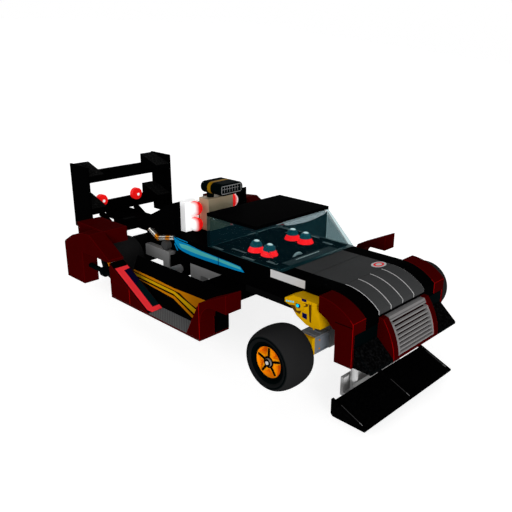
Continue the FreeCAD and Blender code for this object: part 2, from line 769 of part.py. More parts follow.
def pod(side, label):
    """A side pod: floor, ramp and toe bricks along the outside, a raked cover and its frames."""
    full = mirror_span(side, studs("pod_inner_n"), POD_OUTER)
    rim = mirror_span(side, POD_LEDGE, POD_OUTER)
    joint = "(%s + pod_ramp_len / 2)" % POD_BACK
    low = plus(POD_FLOOR, "seam")
    depth = "(-%s / pod_drop)" % low
    ramp_foot = plus(POD_BACK, "pod_ramp_len * " + depth)
    half_up = "(-pod_drop / 2)"
    floor = block(label + "_floor", (POD_BACK, POD_FRONT), full, ("-pod_drop", POD_FLOOR))
    upper = side_plate(label + "_ramp_top", rim, [
        (POD_BACK, half_up + " + seam"), (joint + " - seam", half_up + " + seam"), (POD_BACK, "0"),
    ])
    lower = block(label + "_ramp_back", (POD_BACK, joint + " - seam"), rim, (low, half_up))
    front = side_plate(label + "_ramp_front", rim, [
        (joint + " + seam", low), (ramp_foot, low), (joint + " + seam", half_up),
    ])
    toe = side_plate(label + "_toe", rim, [
        (minus(POD_FRONT, "pod_toe_len"), low), (POD_FRONT, low), (POD_FRONT, "0"),
    ])
    node(label + "_shell", floor, upper, lower, front, toe)
    crest = studs("pod_inner_n")
    foot = "(%s + (%s - %s - seam) * %s)" % (crest, POD_LEDGE, crest, depth)
    cover = end_plate(label + "_top", (POD_BACK, POD_FRONT), [
        ("%d * %s" % (side, crest), low), ("%d * %s" % (side, foot), low),
        ("%d * (%s + seam)" % (side, crest), "0"), ("%d * %s" % (side, crest), "0"),
    ])
    node(label + "_cover", cover)
    side_frames(side, label)


def side_frames(side, label):
    """The light grey beams beside the body and the round bar that holds the pod's back."""
    width = mirror_span(side, minus(BODY_SIDE, "frame_width"), BODY_SIDE)
    gap = mirror_span(side, BODY_HALF, minus(studs("pod_inner_n"), "seam"))
    bar = rod(
        label + "_bar", (plus(POD_BACK, "bar_set"), gap[0], "-beam_drop"), minus(gap[1], gap[0]),
        "strut_dia", "y")
    frames = []
    for name, front, reach, leg, foot in (
        ("fore", minus(BEAM_BACK, "seam"), "fore_beam_len", "fore_leg_len", "-(plate + seam)"),
        ("aft", minus(TAIL_BACK, "aft_leg_len"), "aft_beam_len", "aft_leg_len", "-plate / 2 - seam"),
    ):
        back = minus(front, reach)
        foot_span = (back, plus(back, leg)) if name == "fore" else (minus(front, leg), front)
        beam = block("%s_%s_beam" % (label, name), (back, front), width, ("-beam_drop", foot))
        stand = block("%s_%s_leg" % (label, name), foot_span, width, ("-upright_drop", foot))
        frames.append(fuse("%s_%s_frame" % (label, name), beam, stand))
    node(label + "_struts", bar, *frames)


def horns():
    """The two curved horns that stand out in front of the pods."""
    pieces = []
    for side, label in SIDES:
        front = plus(POD_FRONT, "horn_len")
        span = mirror_span(side, POD_LEDGE, POD_OUTER)
        toe = plus(POD_FRONT, "wall / 2")
        bend = plus(toe, "horn_radius")
        blank = side_plate("horn_%s_blank" % label, span, [
            (plus(POD_FRONT, "seam"), "-horn_radius"), (toe, "-horn_radius"), (bend, "0"), (front, "0"),
            (front, "horn_rise"), (plus(POD_FRONT, "seam"), "0"),
        ])
        centre = (bend, span[0], "-horn_radius")
        hollow = rod("horn_%s_arc" % label, centre, minus(span[1], span[0]), "2 * horn_radius", "y")
        pieces.append(cut("horn_" + label, blank, hollow))
    node("pod_horns", *pieces)


def haunch(side, label):
    """The rear fender: a ramp over the arch, a rounded heel and the box over the wheel."""
    front = POD_BACK
    back = minus(front, "haunch_len")
    crest = minus(front, "haunch_ramp_len")
    heel = plus(back, "haunch_heel_len")
    outer = mirror_span(side, POD_LEDGE, POD_OUTER)
    wedge = side_plate(label + "_wedge", outer, [
        (back, "-pod_drop"), (heel, "-pod_drop"), (heel, "0"), (front + " - seam", "0"),
        (front + " - seam", "wall"), (crest, "haunch_rise"), (heel, "haunch_crest"),
        ("(%s + %s) / 2" % (back, heel), "(haunch_crest * 2 + haunch_tail_rise) / 3"),
        (plus(back, "wall"), "haunch_tail_rise + wall"), (back, "haunch_tail_rise"),
    ])
    inner = mirror_span(side, studs("haunch_inner_n"), POD_LEDGE)
    box = block(label + "_box", (back, crest), inner, ("haunch_box_foot", "haunch_rise"))
    node(label, fuse(label + "_shape", wedge, box))


def fender_rods():
    """The thin rod and its knob across each rear arch."""
    pieces = []
    for side, label in SIDES:
        y = "%d * (%s + %s) / 2" % (side, POD_LEDGE, POD_OUTER)
        back = "(%s - haunch_len + haunch_heel_len + seam)" % POD_BACK
        front = minus(POD_BACK, "seam")
        thin = rod("fender_rod_" + label, (back, y, "-stud"), minus(front, back), "rod_dia", "x")
        middle = "(%s + %s) / 2" % (back, front)
        knob = rod("fender_knob_" + label, (middle, y, "-stud"), "knob_len", "knob_dia", "x")
        pieces.append(fuse("fender_bar_" + label, thin, knob))
    node("fender_rods", *pieces)


def mudguards():
    """A guard that falls from the engine to the tail wing over each rear wheel."""
    pieces = []
    front = minus(TAIL_BACK, "panel_len_n * stud", "plate")
    back = plus(TAIL_FRONT, "seam")
    for side, label in SIDES:
        span = mirror_span(side, "(tail_half - guard_width)", "tail_half")
        pieces.append(side_plate("guard_" + label, span, [
            (back, "-tail_foot"), (plus(back, "2 * stud"), "guard_foot / 3"), (front, "guard_foot"),
            (front, "guard_rise"), (minus(front, "plate"), "guard_rise"),
            (plus(back, "5 / 2 * stud"), "(guard_rise + wall) / 2"), (back, "plate - tail_foot"),
        ]))
    node("mudguards", *pieces)


def engine():
    """The open engine bay: a plain block, side pots, bent exhausts and the sloped side panels."""
    front = minus(TAIL_BACK, "seam")
    back = minus(front, "engine_len")
    core = block("engine_core", (back, front), both("block_half"), ("0", "hood_rise - seam"))
    pots = []
    pipes = []
    for side, label in SIDES:
        skirt = mirror_span(side, "(stud + seam)", "block_half")
        pots.append(block("engine_skirt_" + label, (back, front), skirt, ("-plate / 2", "0")))
        x = "(%s - stud * 11 / 10)" % front
        width = mirror_span(side, "block_half", BODY_SIDE)
        pots.append(rod(
            "pot_" + label, (x, width[0], "seam * 8"), minus(width[1], width[0]), "pot_dia", "y"))
        y = "%d * (block_half + pipe_gap + pipe_dia / 2)" % side
        top = "hood_rise - pipe_dia / 2 - 2 * seam"
        bend = ("%s - stud * 19 / 10" % front, y, "plate - seam * 2")
        fore = slant_rod("pipe_fore_" + label, bend, ("%s - pipe_dia / 2" % front, y, top), "pipe_dia")
        aft = slant_rod("pipe_aft_" + label, ("%s - stud * 27 / 10" % front, y, top), bend, "pipe_dia")
        elbow = doc.addObject("Part::Sphere", "pipe_elbow_" + label)
        elbow.setExpression("Radius", bound("pipe_dia / 2"))
        set_base(elbow, *bend)
        pipes.append(fuse("pipe_" + label, fore, aft, elbow))
    node("engine_cylinders", fuse("engine_block", core, *pots))
    node("exhaust_pipes", *pipes)
    panels = []
    end = minus(TAIL_BACK, "panel_len_n * stud")
    half = minus(TAIL_BACK, "panel_len_n * stud / 2")
    low = "hood_rise"
    mid = "(hood_rise + panel_step)"
    for side, label in SIDES:
        span = mirror_span(side, "panel_inner", "(panel_inner + panel_width)")
        fore = (half + " + seam", minus(TAIL_BACK, "seam"))
        panels.append(block("panel_brick_" + label, fore, span, (low, mid)))
        panels.append(side_plate("panel_top_" + label, span, [
            (fore[0], mid + " + seam"), (fore[1], mid + " + seam"), (fore[1], mid + " + panel_step"),
        ]))
        panels.append(side_plate("panel_ramp_" + label, span, [
            (end, low), (half + " - seam", low), (half + " - seam", mid),
        ]))
    node("engine_panels", *panels)


def tower():
    """The tan tower on the tail deck, the white lamp blocks behind it and the red lamps."""
    back = TAIL_BACK
    front = plus(back, "tower_len")
    top = "(hood_rise + seam + tower_rise)"
    height = ("hood_rise + seam", top)
    node("rear_tower", block("tower_block", (back, front), both(studs("tower_half_n")), height))
    lights = []
    lamps = []
    inner = plus(studs("tower_half_n"), "seam * 4")
    for side, label in SIDES:
        span = mirror_span(side, inner, plus(inner, "lamp_block_width"))
        face = minus(back, "seam")
        lights.append(block(
            "light_" + label, (minus(face, "lamp_block_len"), face), span,
            ("hood_rise", "hood_rise + lamp_block_rise")))
        y = "%d * (%s + seam + lamp_dia / 2)" % (side, inner)
        for row in (0, 1):
            z = "hood_rise + lamp_dia / 2 + seam + %d * lamp_pitch" % row
            lamps.append(rod("lamp_%s_%d" % (label, row), (back, y, z), "lamp_len", "lamp_dia", "x"))
    node("tower_light", *lights)
    bulbs = [rounded("bulb_%d" % count, lamp, "lamp_len / 2", outer_rim) for count, lamp in enumerate(lamps)]
    node("tower_lamps", *bulbs)
    scoop(front, top)


def outer_rim(edge):
    """The front rim of a lamp that points forward."""
    box = edge.BoundBox
    return box.XLength < 1e-6 and box.XMin > size(plus(TAIL_BACK, "seam"))


def behind_mouth(edge):
    """Any edge of the scoop but those round its open mouth."""
    return edge.BoundBox.XMin < size(plus(TAIL_BACK, "tower_len"))


def scoop(front, top):
    """The rounded intake over the tower, on two feet, with its band and its open mouth."""
    mouth = plus(front, "scoop_reach")
    back = minus(mouth, "scoop_len")
    low = plus(top, "scoop_lift")
    high = plus(low, "scoop_rise")
    blank = block("scoop_blank", (back, mouth), both("scoop_half"), (low, high))
    smooth = rounded("scoop_smooth", blank, "scoop_round", behind_mouth)
    opening = block(
        "scoop_mouth", (minus(mouth, "wall"), plus(mouth, "wall")), both("scoop_half - scoop_round / 2"),
        (plus(low, "wall"), minus(high, "wall")))
    ring = (minus(mouth, "band_set + band_len"), minus(mouth, "band_set"))
    groove = block("scoop_groove", ring, both("scoop_half + wall"), (minus(low, "wall"), plus(high, "wall")))
    core_span = both("scoop_half - band_thick")
    core_height = (plus(low, "band_thick"), minus(high, "band_thick"))
    core = block("scoop_core", (plus(back, "band_thick"), mouth), core_span, core_height)
    core_round = rounded("scoop_core_round", core, "scoop_round - band_thick", behind_mouth)
    shell = cut("scoop_grooved", smooth, cut("scoop_ring", groove, core_round), opening)
    feet = []
    for side, label in SIDES:
        y = "%d * scoop_half / 2" % side
        x = "(%s - tower_len / 2)" % front
        feet.append(rod("scoop_foot_" + label, (x, y, plus(top, "seam")), "scoop_lift", "foot_dia"))
    legs = [cut("scoop_leg_%d" % count, foot, blank) for count, foot in enumerate(feet)]
    node("engine_scoop", shell, *legs)
    band = common("band_outer", smooth, groove)
    node("scoop_band", cut("band_shape", band, core_round))


def tail():
    """The rear wing: end plates, fairings inside them and two cross bars, on a beam."""
    plates = []
    for side, label in SIDES:
        skin = mirror_span(side, WING_SKIN, "tail_half")
        plates.append(block("tail_plate_" + label, (TAIL_END, TAIL_FRONT), skin, ("-tail_foot", "tail_top")))
        width = mirror_span(side, "fairing_inner", WING_SKIN)
        for level in (0, 1):
            foot = "(tail_top - fairing_rise - %d * fairing_gap)" % level
            bar_front = plus(TAIL_END, "tail_bar_thick", "seam")
            plates.append(side_plate("fairing_%s_%d" % (label, level), width, [
                (bar_front, foot), (TAIL_FRONT, foot), (TAIL_FRONT, foot + " + fairing_lip"),
                (bar_front, foot + " + fairing_rise"),
            ]))
    for level in (0, 1):
        low = "(%d * tail_bar_gap)" % level
        plates.append(block(
            "tail_bar_%d" % level, (TAIL_END, plus(TAIL_END, "tail_bar_thick")),
            both(minus(WING_SKIN, "seam / 2")),
            (low, plus(low, "tail_bar_rise"))))
    node("tail_wing", *plates)
    beam = block("tail_beam_solid", (TAIL_END, minus(TAIL_BACK, "seam")), both("stud"), ("-plate", "-seam"))
    foot_span = (minus(TAIL_FRONT, "brace_set", "2 * plate"), minus(TAIL_FRONT, "brace_set"))
    foot = block("brace_foot", foot_span, both(studs("brace_half_n")), ("-3 * plate", "-2 * plate"))
    web = block("brace_web", foot_span, both("stud"), ("-2 * plate", "-plate"))
    pin_at = (studs("-(rear_axle_n - 2)"), "0", "-plate - seam")
    hole = rod("stand_hole", pin_at, "plate + seam", "pin_hole_dia")
    node("tail_beam", cut("tail_beam_shape", fuse("tail_beam_fused", beam, web, foot), hole))
    braces = []
    lamps = []
    for side, label in SIDES:
        y = "%d * 3 / 2 * stud" % side
        low = (minus(TAIL_FRONT, "brace_set", "plate"), y, "brace_dia / 2 - 2 * plate")
        high = (plus(TAIL_END, "tail_bar_thick", "3 * seam"), y, "0")
        braces.append(slant_rod("brace_" + label, low, high, "brace_dia"))
        z = "(tail_bar_rise + wall)"
        start = plus(TAIL_END, "tail_bar_thick", "seam")
        lamps.append(rod("tail_lamp_rod_" + label, (start, y, z), "tail_lamp_len", "tail_lamp_dia", "x"))
    node("tail_struts", *braces)
    node("tail_lamps", *lamps)


hood()
tub()
fender(1, "front_fender_left")
fender(-1, "front_fender_right")
nose()
front_wing()
canopy()
cockpit()
running_gear()
wheels()
carriers()
for side, label in SIDES:
    pod(side, "pod_" + label)
    haunch(side, "rear_fender_" + label)
horns()
fender_rods()
mudguards()
engine()
tower()
tail()
doc.recompute()

for thing in doc.Objects:
    if "Invalid" in thing.State or "Error" in thing.State:
        raise RuntimeError("%s failed: %s" % (thing.Name, thing.State))
for group in NODES:
    if group.Shape.isNull() or not group.Shape.Faces:
        raise RuntimeError("%s has no faces" % group.Label)

# The stance: the floor touches the wing bracket's rear edge and the rear tyres from below
heel = (size("%s - seam - bracket_len" % WING_BACK), size(SHELF))
hub = (size(REAR_AXLE[0]), size(REAR_AXLE[1]))
run = heel[0] - hub[0]
fall = hub[1] - heel[1]
pitch = math.atan2(fall, run) - math.asin(size("tyre_dia") / 2 / math.hypot(run, fall))
turn = FreeCAD.Rotation(V(0, 1, 0), -math.degrees(pitch))
contact = turn.multVec(V(heel[0], 0, heel[1]))
for group in NODES:
    group.Placement = FreeCAD.Placement(V(0, 0, -contact.z), turn)
doc.recompute()
spans = [group.Shape.optimalBoundingBox(False) for group in NODES]
middle = (min(span.XMin for span in spans) + max(span.XMax for span in spans)) / 2
stance = FreeCAD.Placement(V(-middle, 0, -contact.z), turn)
for group in NODES:
    group.Placement = stance
doc.recompute()

os.makedirs("parts", exist_ok=True)
for group in NODES:
    shape = group.Shape
    if shape.isNull() or not shape.isValid():
        raise RuntimeError("%s has no valid shape" % group.Label)
    shape.exportStep("parts/%s.step" % group.Label)
print(len(NODES), "nodes, stance", stance.Base.x, stance.Base.z, math.degrees(pitch))
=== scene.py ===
import json
import math
from math import radians

import bmesh
import bpy
from bpy.props import FloatProperty, FloatVectorProperty, IntProperty, PointerProperty
from mathutils import Matrix, Vector


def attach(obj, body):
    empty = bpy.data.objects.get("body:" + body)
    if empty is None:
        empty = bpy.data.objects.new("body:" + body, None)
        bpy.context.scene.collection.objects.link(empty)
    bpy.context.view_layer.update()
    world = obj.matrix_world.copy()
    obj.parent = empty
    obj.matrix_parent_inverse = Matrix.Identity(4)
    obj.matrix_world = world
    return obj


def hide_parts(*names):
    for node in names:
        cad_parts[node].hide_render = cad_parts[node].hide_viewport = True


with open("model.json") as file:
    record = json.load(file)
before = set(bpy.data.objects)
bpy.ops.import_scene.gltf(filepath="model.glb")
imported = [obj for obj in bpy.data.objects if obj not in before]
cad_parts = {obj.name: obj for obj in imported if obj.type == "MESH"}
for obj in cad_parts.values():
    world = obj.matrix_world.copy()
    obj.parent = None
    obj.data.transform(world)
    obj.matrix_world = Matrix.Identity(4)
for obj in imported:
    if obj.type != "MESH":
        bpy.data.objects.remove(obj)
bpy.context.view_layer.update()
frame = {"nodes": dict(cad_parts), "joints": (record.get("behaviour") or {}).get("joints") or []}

bl_info = {
    "name": "Toy racing car",
    "version": (1, 0, 0),
    "blender": (4, 5, 0),
    "location": "3D View > Sidebar > Racing car",
    "description": "Finishes and printed trim of a toy racing car built of plastic bricks",
    "category": "Object",
}

MM = 0.001
STUD = 8 * MM
NEAR, FAR = -1, 1
SIDES = ((NEAR, "right"), (FAR, "left"))
UP = Vector((0, 0, 1))
AHEAD = Vector((1, 0, 0))

# The car is stored nose up. These two axles lie level with each other in the toy's own frame,
# so they give the turn and the shift from that level frame to the stored one.
AXLE_LEVEL = -12.6 * MM
FRONT_AXLE_AT = -20.32 * MM
JOINT_AT = {joint["name"]: Vector(joint["pos_m"]) for joint in frame["joints"]}
FRONT_HUB = JOINT_AT["front_left_wheel_spin"]
REAR_HUB = JOINT_AT["rear_left_wheel_spin"]
PITCH = math.atan2(FRONT_HUB.z - REAR_HUB.z, FRONT_HUB.x - REAR_HUB.x)
TILT = Matrix.Rotation(-PITCH, 4, "Y")
LEVEL = (
    Matrix.Translation(Vector((FRONT_HUB.x, 0, FRONT_HUB.z)))
    @ TILT
    @ Matrix.Translation(Vector((-FRONT_AXLE_AT, 0, -AXLE_LEVEL)))
)
TO_LEVEL = LEVEL.inverted()

# The camera, solved on the brick grid in studs of the level frame
CAMERA_STUDS = Vector((14.469, -24.546, 12.173))
CAMERA_AZIMUTH = radians(45)
CAMERA_DROP = radians(19.4326)
CAMERA_LENS = 43.456
# The tones of the stage, and the way from the car to each soft sun
PAPER = (0.5, 0.5, 0.5, 1)
WHITE = (1, 1, 1, 1)
KEY_TOWARDS = (0.85, -0.5, 0.16)
FILL_TOWARDS = (-0.2, -0.85, 0.45)
BACK_TOWARDS = (-0.7, 0.7, 0.12)

# Corners closer than this are one
SAME_PLACE = 0.001 * MM
# Faces that meet at less than FLAT are joined, edges over HARD are rounded, and those over SHARP
# are shaded apart
FLAT = radians(1)
HARD = radians(28)
SHARP = radians(50)
# Radius of the edges of small pieces
FINE_EDGE = 0.08 * MM

# Scales of a brick's broad unevenness, of the smears on clear plastic and of the woven lines
BROAD_SCALE = 70.0
SMEAR_SCALE = 45.0
WEAVE_SCALE = 314.0
WEAVE_TURN = radians(38)
WEAVE_TONE = (0.24, 0.246, 0.25, 1)
# Light hardly bends in the thin panes, and the canopy glows faintly with painted teal light
PANE_BEND = 1.03
CANOPY_PAINTED_GLOW = 0.0038
# The painted white highlight at the top of a dome
DOME_PAINTED_HIGHLIGHT = (0.9, 1, 1, 1)

# The sloping faces of a side pod in the level frame, in studs
POD_CREST = 5.0
POD_BACK = -15.0
COVER_SLOPE = 2.1
RAMP_SLOPE = 0.55

# The seam on a front fender's outer side, between its arched brick and the straight one under it
FENDER_SIDE = 3.9875
FENDER_SEAM = ((-1.0, -0.02), (-0.03, -0.02), (-0.03, 0.02), (-1.0, 0.02))

# The rounded nose: heights and reaches in studs
NOSE_FOOT, NOSE_CREST = -2.05, -0.1125
NOSE_JUT, NOSE_LIP = 0.9875, 0.275
# The grille's louvres: their spacing and slant, and the strip of painted shade at the back of each
LOUVRE_ROWS, LOUVRE_PITCH, LOUVRE_SLANT = 8, 0.19, 0.28
SLOT_FRONT, SLOT_BACK, SLOT_HALF = 0.085, 0.27, 1.36

# Distances from the car's middle over which a tower lamp pales from red to white
LAMP_RED_TO = 12 * MM
LAMP_WHITE_FROM = 14.4 * MM

# The line of the front wing's upper edge, half the width of its painted highlight lines and their brighter
# ends
WING_TOP, WING_SLOPE = -4.45, 0.4125
LINE_HALF, LINE_TIP = 0.02, 0.2

# The pale stop in the end of an axle
STOP_RADIUS = 0.75 * MM
STOP_LENGTH = 0.3 * MM

# Half width of the engine's black block, and the radius of the exhausts' edges
POT_FROM = 2.65
PIPE_EDGE = 0.05 * MM

# The row of white dashes on the scuttle
DASH_AT = -6.02
DASH_FROM = -1.05
DASH_COUNT = 15
DASH_PITCH = 0.13
DASH_SIZE = 0.06
# The ring on the hood: its middle, its radii along and across, and its rings' looks and shares
BADGE_AT = (-2.44, 1.44)
BADGE_REACH = (0.34, 0.5)
BADGE_STEPS = 32
BADGE_RINGS = (("print_paper", 1), ("print_red", 0.72), ("print_paper", 0.42))
# The wing's painted highlight lines: back end, front end, and the place across the car
WING_HIGHLIGHTS = ((-0.3, 0.86, 0), (-0.55, 0.74, -3.83), (-0.55, 0.74, 3.83))
# The painted highlight on a tail lamp, and its shift across and up from the lamp's middle
GLINT_RADIUS = 0.9 * MM
GLINT_LENGTH = 0.2 * MM
GLINT_SHIFT = (0.1, -0.06)

# The scoop's open mouth: its place along the car, half width, and heights of its foot and head
MOUTH_AT, MOUTH_HALF = -12.15, 0.7625
MOUTH_FOOT, MOUTH_HEAD = 3.4625, 3.875
# The line round the mouth, and the thinner lines of the grid that lies deeper in it
MOUTH_LINE = 0.045
GRID_HALF = 0.015
GRID_DEPTH = 0.15
GRID_LINES = 7
GRID_PITCH = MOUTH_HALF / 3.6

# The side window's foot, and the arc below which a sheet paints it darker with shade, as places along the
# car and up
WINDOW_BACK, WINDOW_FRONT, WINDOW_FOOT, WINDOW_TOP = -10.8, -7.1, 1.05, 2.78
WINDOW_ARC = (
    (-7.1, 2.72), (-7.35, 2.46), (-7.74, 2.22), (-8.28, 1.92), (-8.84, 1.66), (-9.56, 1.38),
    (-10.2, 1.19), (-10.8, 1.1),
)
# Tinted sheets on the inside of the far window: name, tint and outline. The dark one paints shade below the
# arc; the others tint it above the arc and at its front
WINDOW_INSIDE = 2.86
WINDOW_SHADES = (
    ("dark", (0.012, 0.032, 0.036), (
        (WINDOW_BACK, WINDOW_FOOT), (WINDOW_FRONT, WINDOW_FOOT), *WINDOW_ARC)),
    ("upper", (0.78, 0.64, 0.66), (*WINDOW_ARC, (WINDOW_BACK, WINDOW_TOP))),
    ("front", (0.4, 0.4, 0.41), (
        (WINDOW_FRONT + 0.02, WINDOW_FOOT), (WINDOW_FRONT + 1.65, WINDOW_FOOT),
        (WINDOW_FRONT + 0.02, WINDOW_TOP - 0.05))),
)
# Grey strips on the cabin's sills: back end, front end, and inner and outer edge
SILL_STRIPS = (
    (-10.8, -9.95, 2.64, 2.84), (-9.75, -8.65, 2.1, 2.26), (-8.4, -7.5, 2.64, 2.8), (-6.9, -6.2, 2.2, 2.4),
)

# Printed shapes on the pod's cover, as places along the car and out from its middle
COVER_ORANGE = (
    (-14.95, 5.37), (-13.02, 5.38), (-11.08, 5.41), (-9.77, 5.39), (-8.4, 5.38), (-8.78, 5.5),
    (-8.96, 5.62), (-9.66, 5.56), (-10.54, 5.46), (-12.95, 5.44), (-14.95, 5.41),
)
COVER_YELLOW = (
    (-14.95, 5.44), (-10.9, 5.48), (-8.79, 5.67), (-8.84, 5.77), (-10.93, 5.54), (-14.61, 5.5),
)
COVER_THIN = (
    (-14.38, 5.54), (-10.84, 5.58), (-8.87, 5.82), (-8.95, 5.87), (-10.87, 5.64), (-14.11, 5.56),
)
# The same on the ramp's slope
RAMP_RED = (
    (-14.56, 6.89), (-14.57, 6.06), (-14.36, 6.04), (-14.3, 6.46), (-11.69, 6.47),
    (-11.69, 6.02), (-11.43, 6.02), (-11.39, 6.73), (-11.6, 6.89),
)
RAMP_FIELD = ((-14.27, 6.45), (-14.34, 6.06), (-11.69, 6.02), (-11.67, 6.48))
RAMP_TOP = ((-14.27, 6.45), (-14.34, 6.06), (-13.5, 6.04), (-13.2, 6.47))
COVER_PRINTS = (
    ("print_orange", COVER_ORANGE), ("print_yellow", COVER_YELLOW), ("print_orange", COVER_THIN))
RAMP_PRINTS = (("print_red", RAMP_RED), ("print_field", RAMP_FIELD), ("print_dusk", RAMP_TOP))
# The pod's woven ledge lies lower than this
LEDGE_TOP = -1.5

# Shapes on the body's side, as places along the car and up from the hood's foot
BODY_SIDE = 2.9875
NAME_PLATE = ((-6.03, 0.54), (-3.69, 0.54), (-3.69, 0.97), (-6.03, 0.97))
SIDE_BLUE = (
    (-14.08, 0.89), (-13.56, 0.77), (-12.73, 0.74), (-11.54, 0.62), (-10.27, 0.58), (-9.06, 0.54),
    (-8.3, 0.5), (-7.98, 0.24), (-8.77, 0.19), (-10.28, 0.14), (-11.56, 0.11), (-12.56, 0.11),
    (-13.3, 0.18), (-13.7, 0.3), (-13.99, 0.58),
)
SIDE_CORE = (
    (-13.6, 0.6), (-12.73, 0.65), (-11.54, 0.57), (-10.27, 0.53), (-9.06, 0.5), (-8.33, 0.46),
    (-8.2, 0.34), (-9.06, 0.33), (-10.28, 0.36), (-11.55, 0.32), (-12.48, 0.34), (-13.37, 0.38),
)
SIDE_FORKS = (
    ((-13.98, 0.93), (-12.76, 0.87), (-12.76, 0.82), (-13.6, 0.84)),
    ((-14.07, 0.48), (-13.98, 0.5), (-13.7, 0.14), (-13.8, 0.08)),
)
SIDE_SEAM = ((-10.1, 0.64), (-10.05, 0.64), (-10.05, 0.12), (-10.1, 0.12))
# Marks on the outer face of a front arm, and dark strips of painted shade in its gaps
ARM_FACE = 3.7875
ARM_MARKS = (
    ("print_navy", ((-3.2, 0.44), (-2.9, 0.46), (-2.9, 0.32), (-3.19, 0.31))),
    ("print_navy", ((-3.15, -0.27), (-2.85, -0.28), (-2.84, -0.56), (-3.14, -0.53))),
    # The shaded yellow strips are painted shade in the gaps between the arm's parts
    ("yellow_shade", ((-2.76, 0.3), (-2.6, 0.3), (-2.57, -0.65), (-2.68, -0.62))),
    ("yellow_shade", (
        (-3.95, -0.1), (-3.62, -0.06), (-3.5, -0.3), (-3.2, -0.2), (-3.3, -0.42), (-3.62, -0.38))),
    ("yellow_shade", ((-3.05, 0.24), (-2.8, 0.26), (-2.8, 0.14), (-3.05, 0.02))),
)
# How much a round pin narrows to its end
PIN_TAPER = 0.86
# The row of small lights on the same face
ARM_LIGHTS = 4
ARM_LIGHT_FROM = (-4.2, -0.02)
ARM_LIGHT_STEP = (0.14, 0.022)
ARM_LIGHT = ((0, 0), (0.08, 0.012), (0.08, 0.092), (0, 0.08))
# The lens in its ring, the round bosses and the raised plates
ARM_LENS = (-3.41, 0.01)
LENS_RADIUS = 0.75 * MM
LENS_LENGTH = 0.6 * MM
RING_RADIUS = 1.15 * MM
RING_LENGTH = 0.35 * MM
ARM_BOSSES = ((-4.02, 0.22), (-3.02, -0.12), (-2.66, 0.32), (-2.36, 0.3), (-2.4, -0.9))
BOSS_RADIUS = 0.42 * MM
BOSS_LENGTH = 0.3 * MM
ARM_PLATES = (((-2.52, -0.2), (-2.2, 0.46)), ((-3.5, 0.12), (-2.95, 0.22)))
ARM_PLATE_RISE = 0.05
# The pins on a hub block, as shares of its width and height from its middle
HUB_PIN_RADIUS = 0.4 * MM
HUB_PIN_LENGTH = 0.25 * MM
HUB_PIN_ACROSS = 0.22
HUB_PIN_UP = 0.25
# The ribs on its top and the frame on its front, as shares too, and half a rib's width in studs
HUB_RIBS = (-0.36, 0, 0.36)
HUB_FRAME = 0.4
HUB_RIB_HALF = 0.03
HUB_RIB_INSET = 0.1

WHEELS = ("front_right", "front_left", "rear_right", "rear_left")
# A tyre's side from the bead outward in millimetres: inset from its widest, how many grooves deep,
# and rise over the bead
TYRE_SIDE = (
    (0.95, 0, 0.45), (0.5, 0, 1.1), (0.5, 1, 1.18), (0.42, 1, 1.3), (0.35, 0, 1.36), (0.06, 0, 1.95),
    (0, 0, 2.5), (0, 1, 2.58), (0, 1, 2.7), (0.03, 0, 2.78),
)
# Its shoulder and crown: a quarter of a flattened ellipse
SHOULDER_RISE = 2.6 * MM
SHOULDER_INSET = 0.04 * MM
SHOULDER_STEPS = 14
SHOULDER_POWER = 0.86
# Where a tyre is painted black as shade, as rises over the bead: up to the first, by the bead's inward
# curve, and in the ring between the others, over the moulded grooves
BEAD_TO = 1.2 * MM
RING_FROM = 2.45 * MM
RING_TO = 2.9 * MM
# How far from the wheel's middle that ring lies at least, and how far under the crown the tread begins
RING_OUT = 6.5 * MM
TREAD_DROP = 1.9 * MM
# A rim's gap in the tyre, its lip, its wall and its bore, and the radius of a wheel's edges
RIM_GAP = 0.1 * MM
RIM_LIP = 0.75 * MM
RIM_WALL = 1.1 * MM
RIM_BORE = 1.66 * MM
WHEEL_EDGE = 0.1 * MM
# A spider's arms, how far in it lies, and the depths of its black hub and ribs
SPIDER_ARMS = 5
SPIDER_INSET = 0.3 * MM
SPIDER_HUB = 0.56 * MM
SPIDER_RIB = 0.5 * MM
RIB_OVERLAP = 0.1 * MM


def colour(name, description, value):
    """A colour property, written as linear red, green and blue."""
    return FloatVectorProperty(
        name=name, description=description, default=value, subtype="COLOR", size=3, min=0, max=1)


class StageSettings(bpy.types.PropertyGroup):
    """Sizes and light levels of the stage."""

    floor_width: FloatProperty(
        name="Floor width", description="Side of the square floor", default=3.0, unit="LENGTH")
    floor_glow: FloatProperty(
        name="Floor glow", description="How bright the paper floor looks to the camera by itself",
        default=0.8, min=0)
    key_strength: FloatProperty(
        name="Key light", description="Strength of the soft sun ahead of the car", default=2.3, min=0)
    fill_strength: FloatProperty(
        name="Fill light", description="Strength of the soft sun at the camera's side", default=0.75, min=0)
    back_strength: FloatProperty(
        name="Back light", description="Strength of the soft sun behind the car", default=1.4, min=0)
    softness: FloatProperty(
        name="Softness", description="Width of each soft sun in the sky", default=radians(28),
        subtype="ANGLE")
    world_light: FloatProperty(
        name="Sky light", description="Strength of the light from all round", default=0.3, min=0)


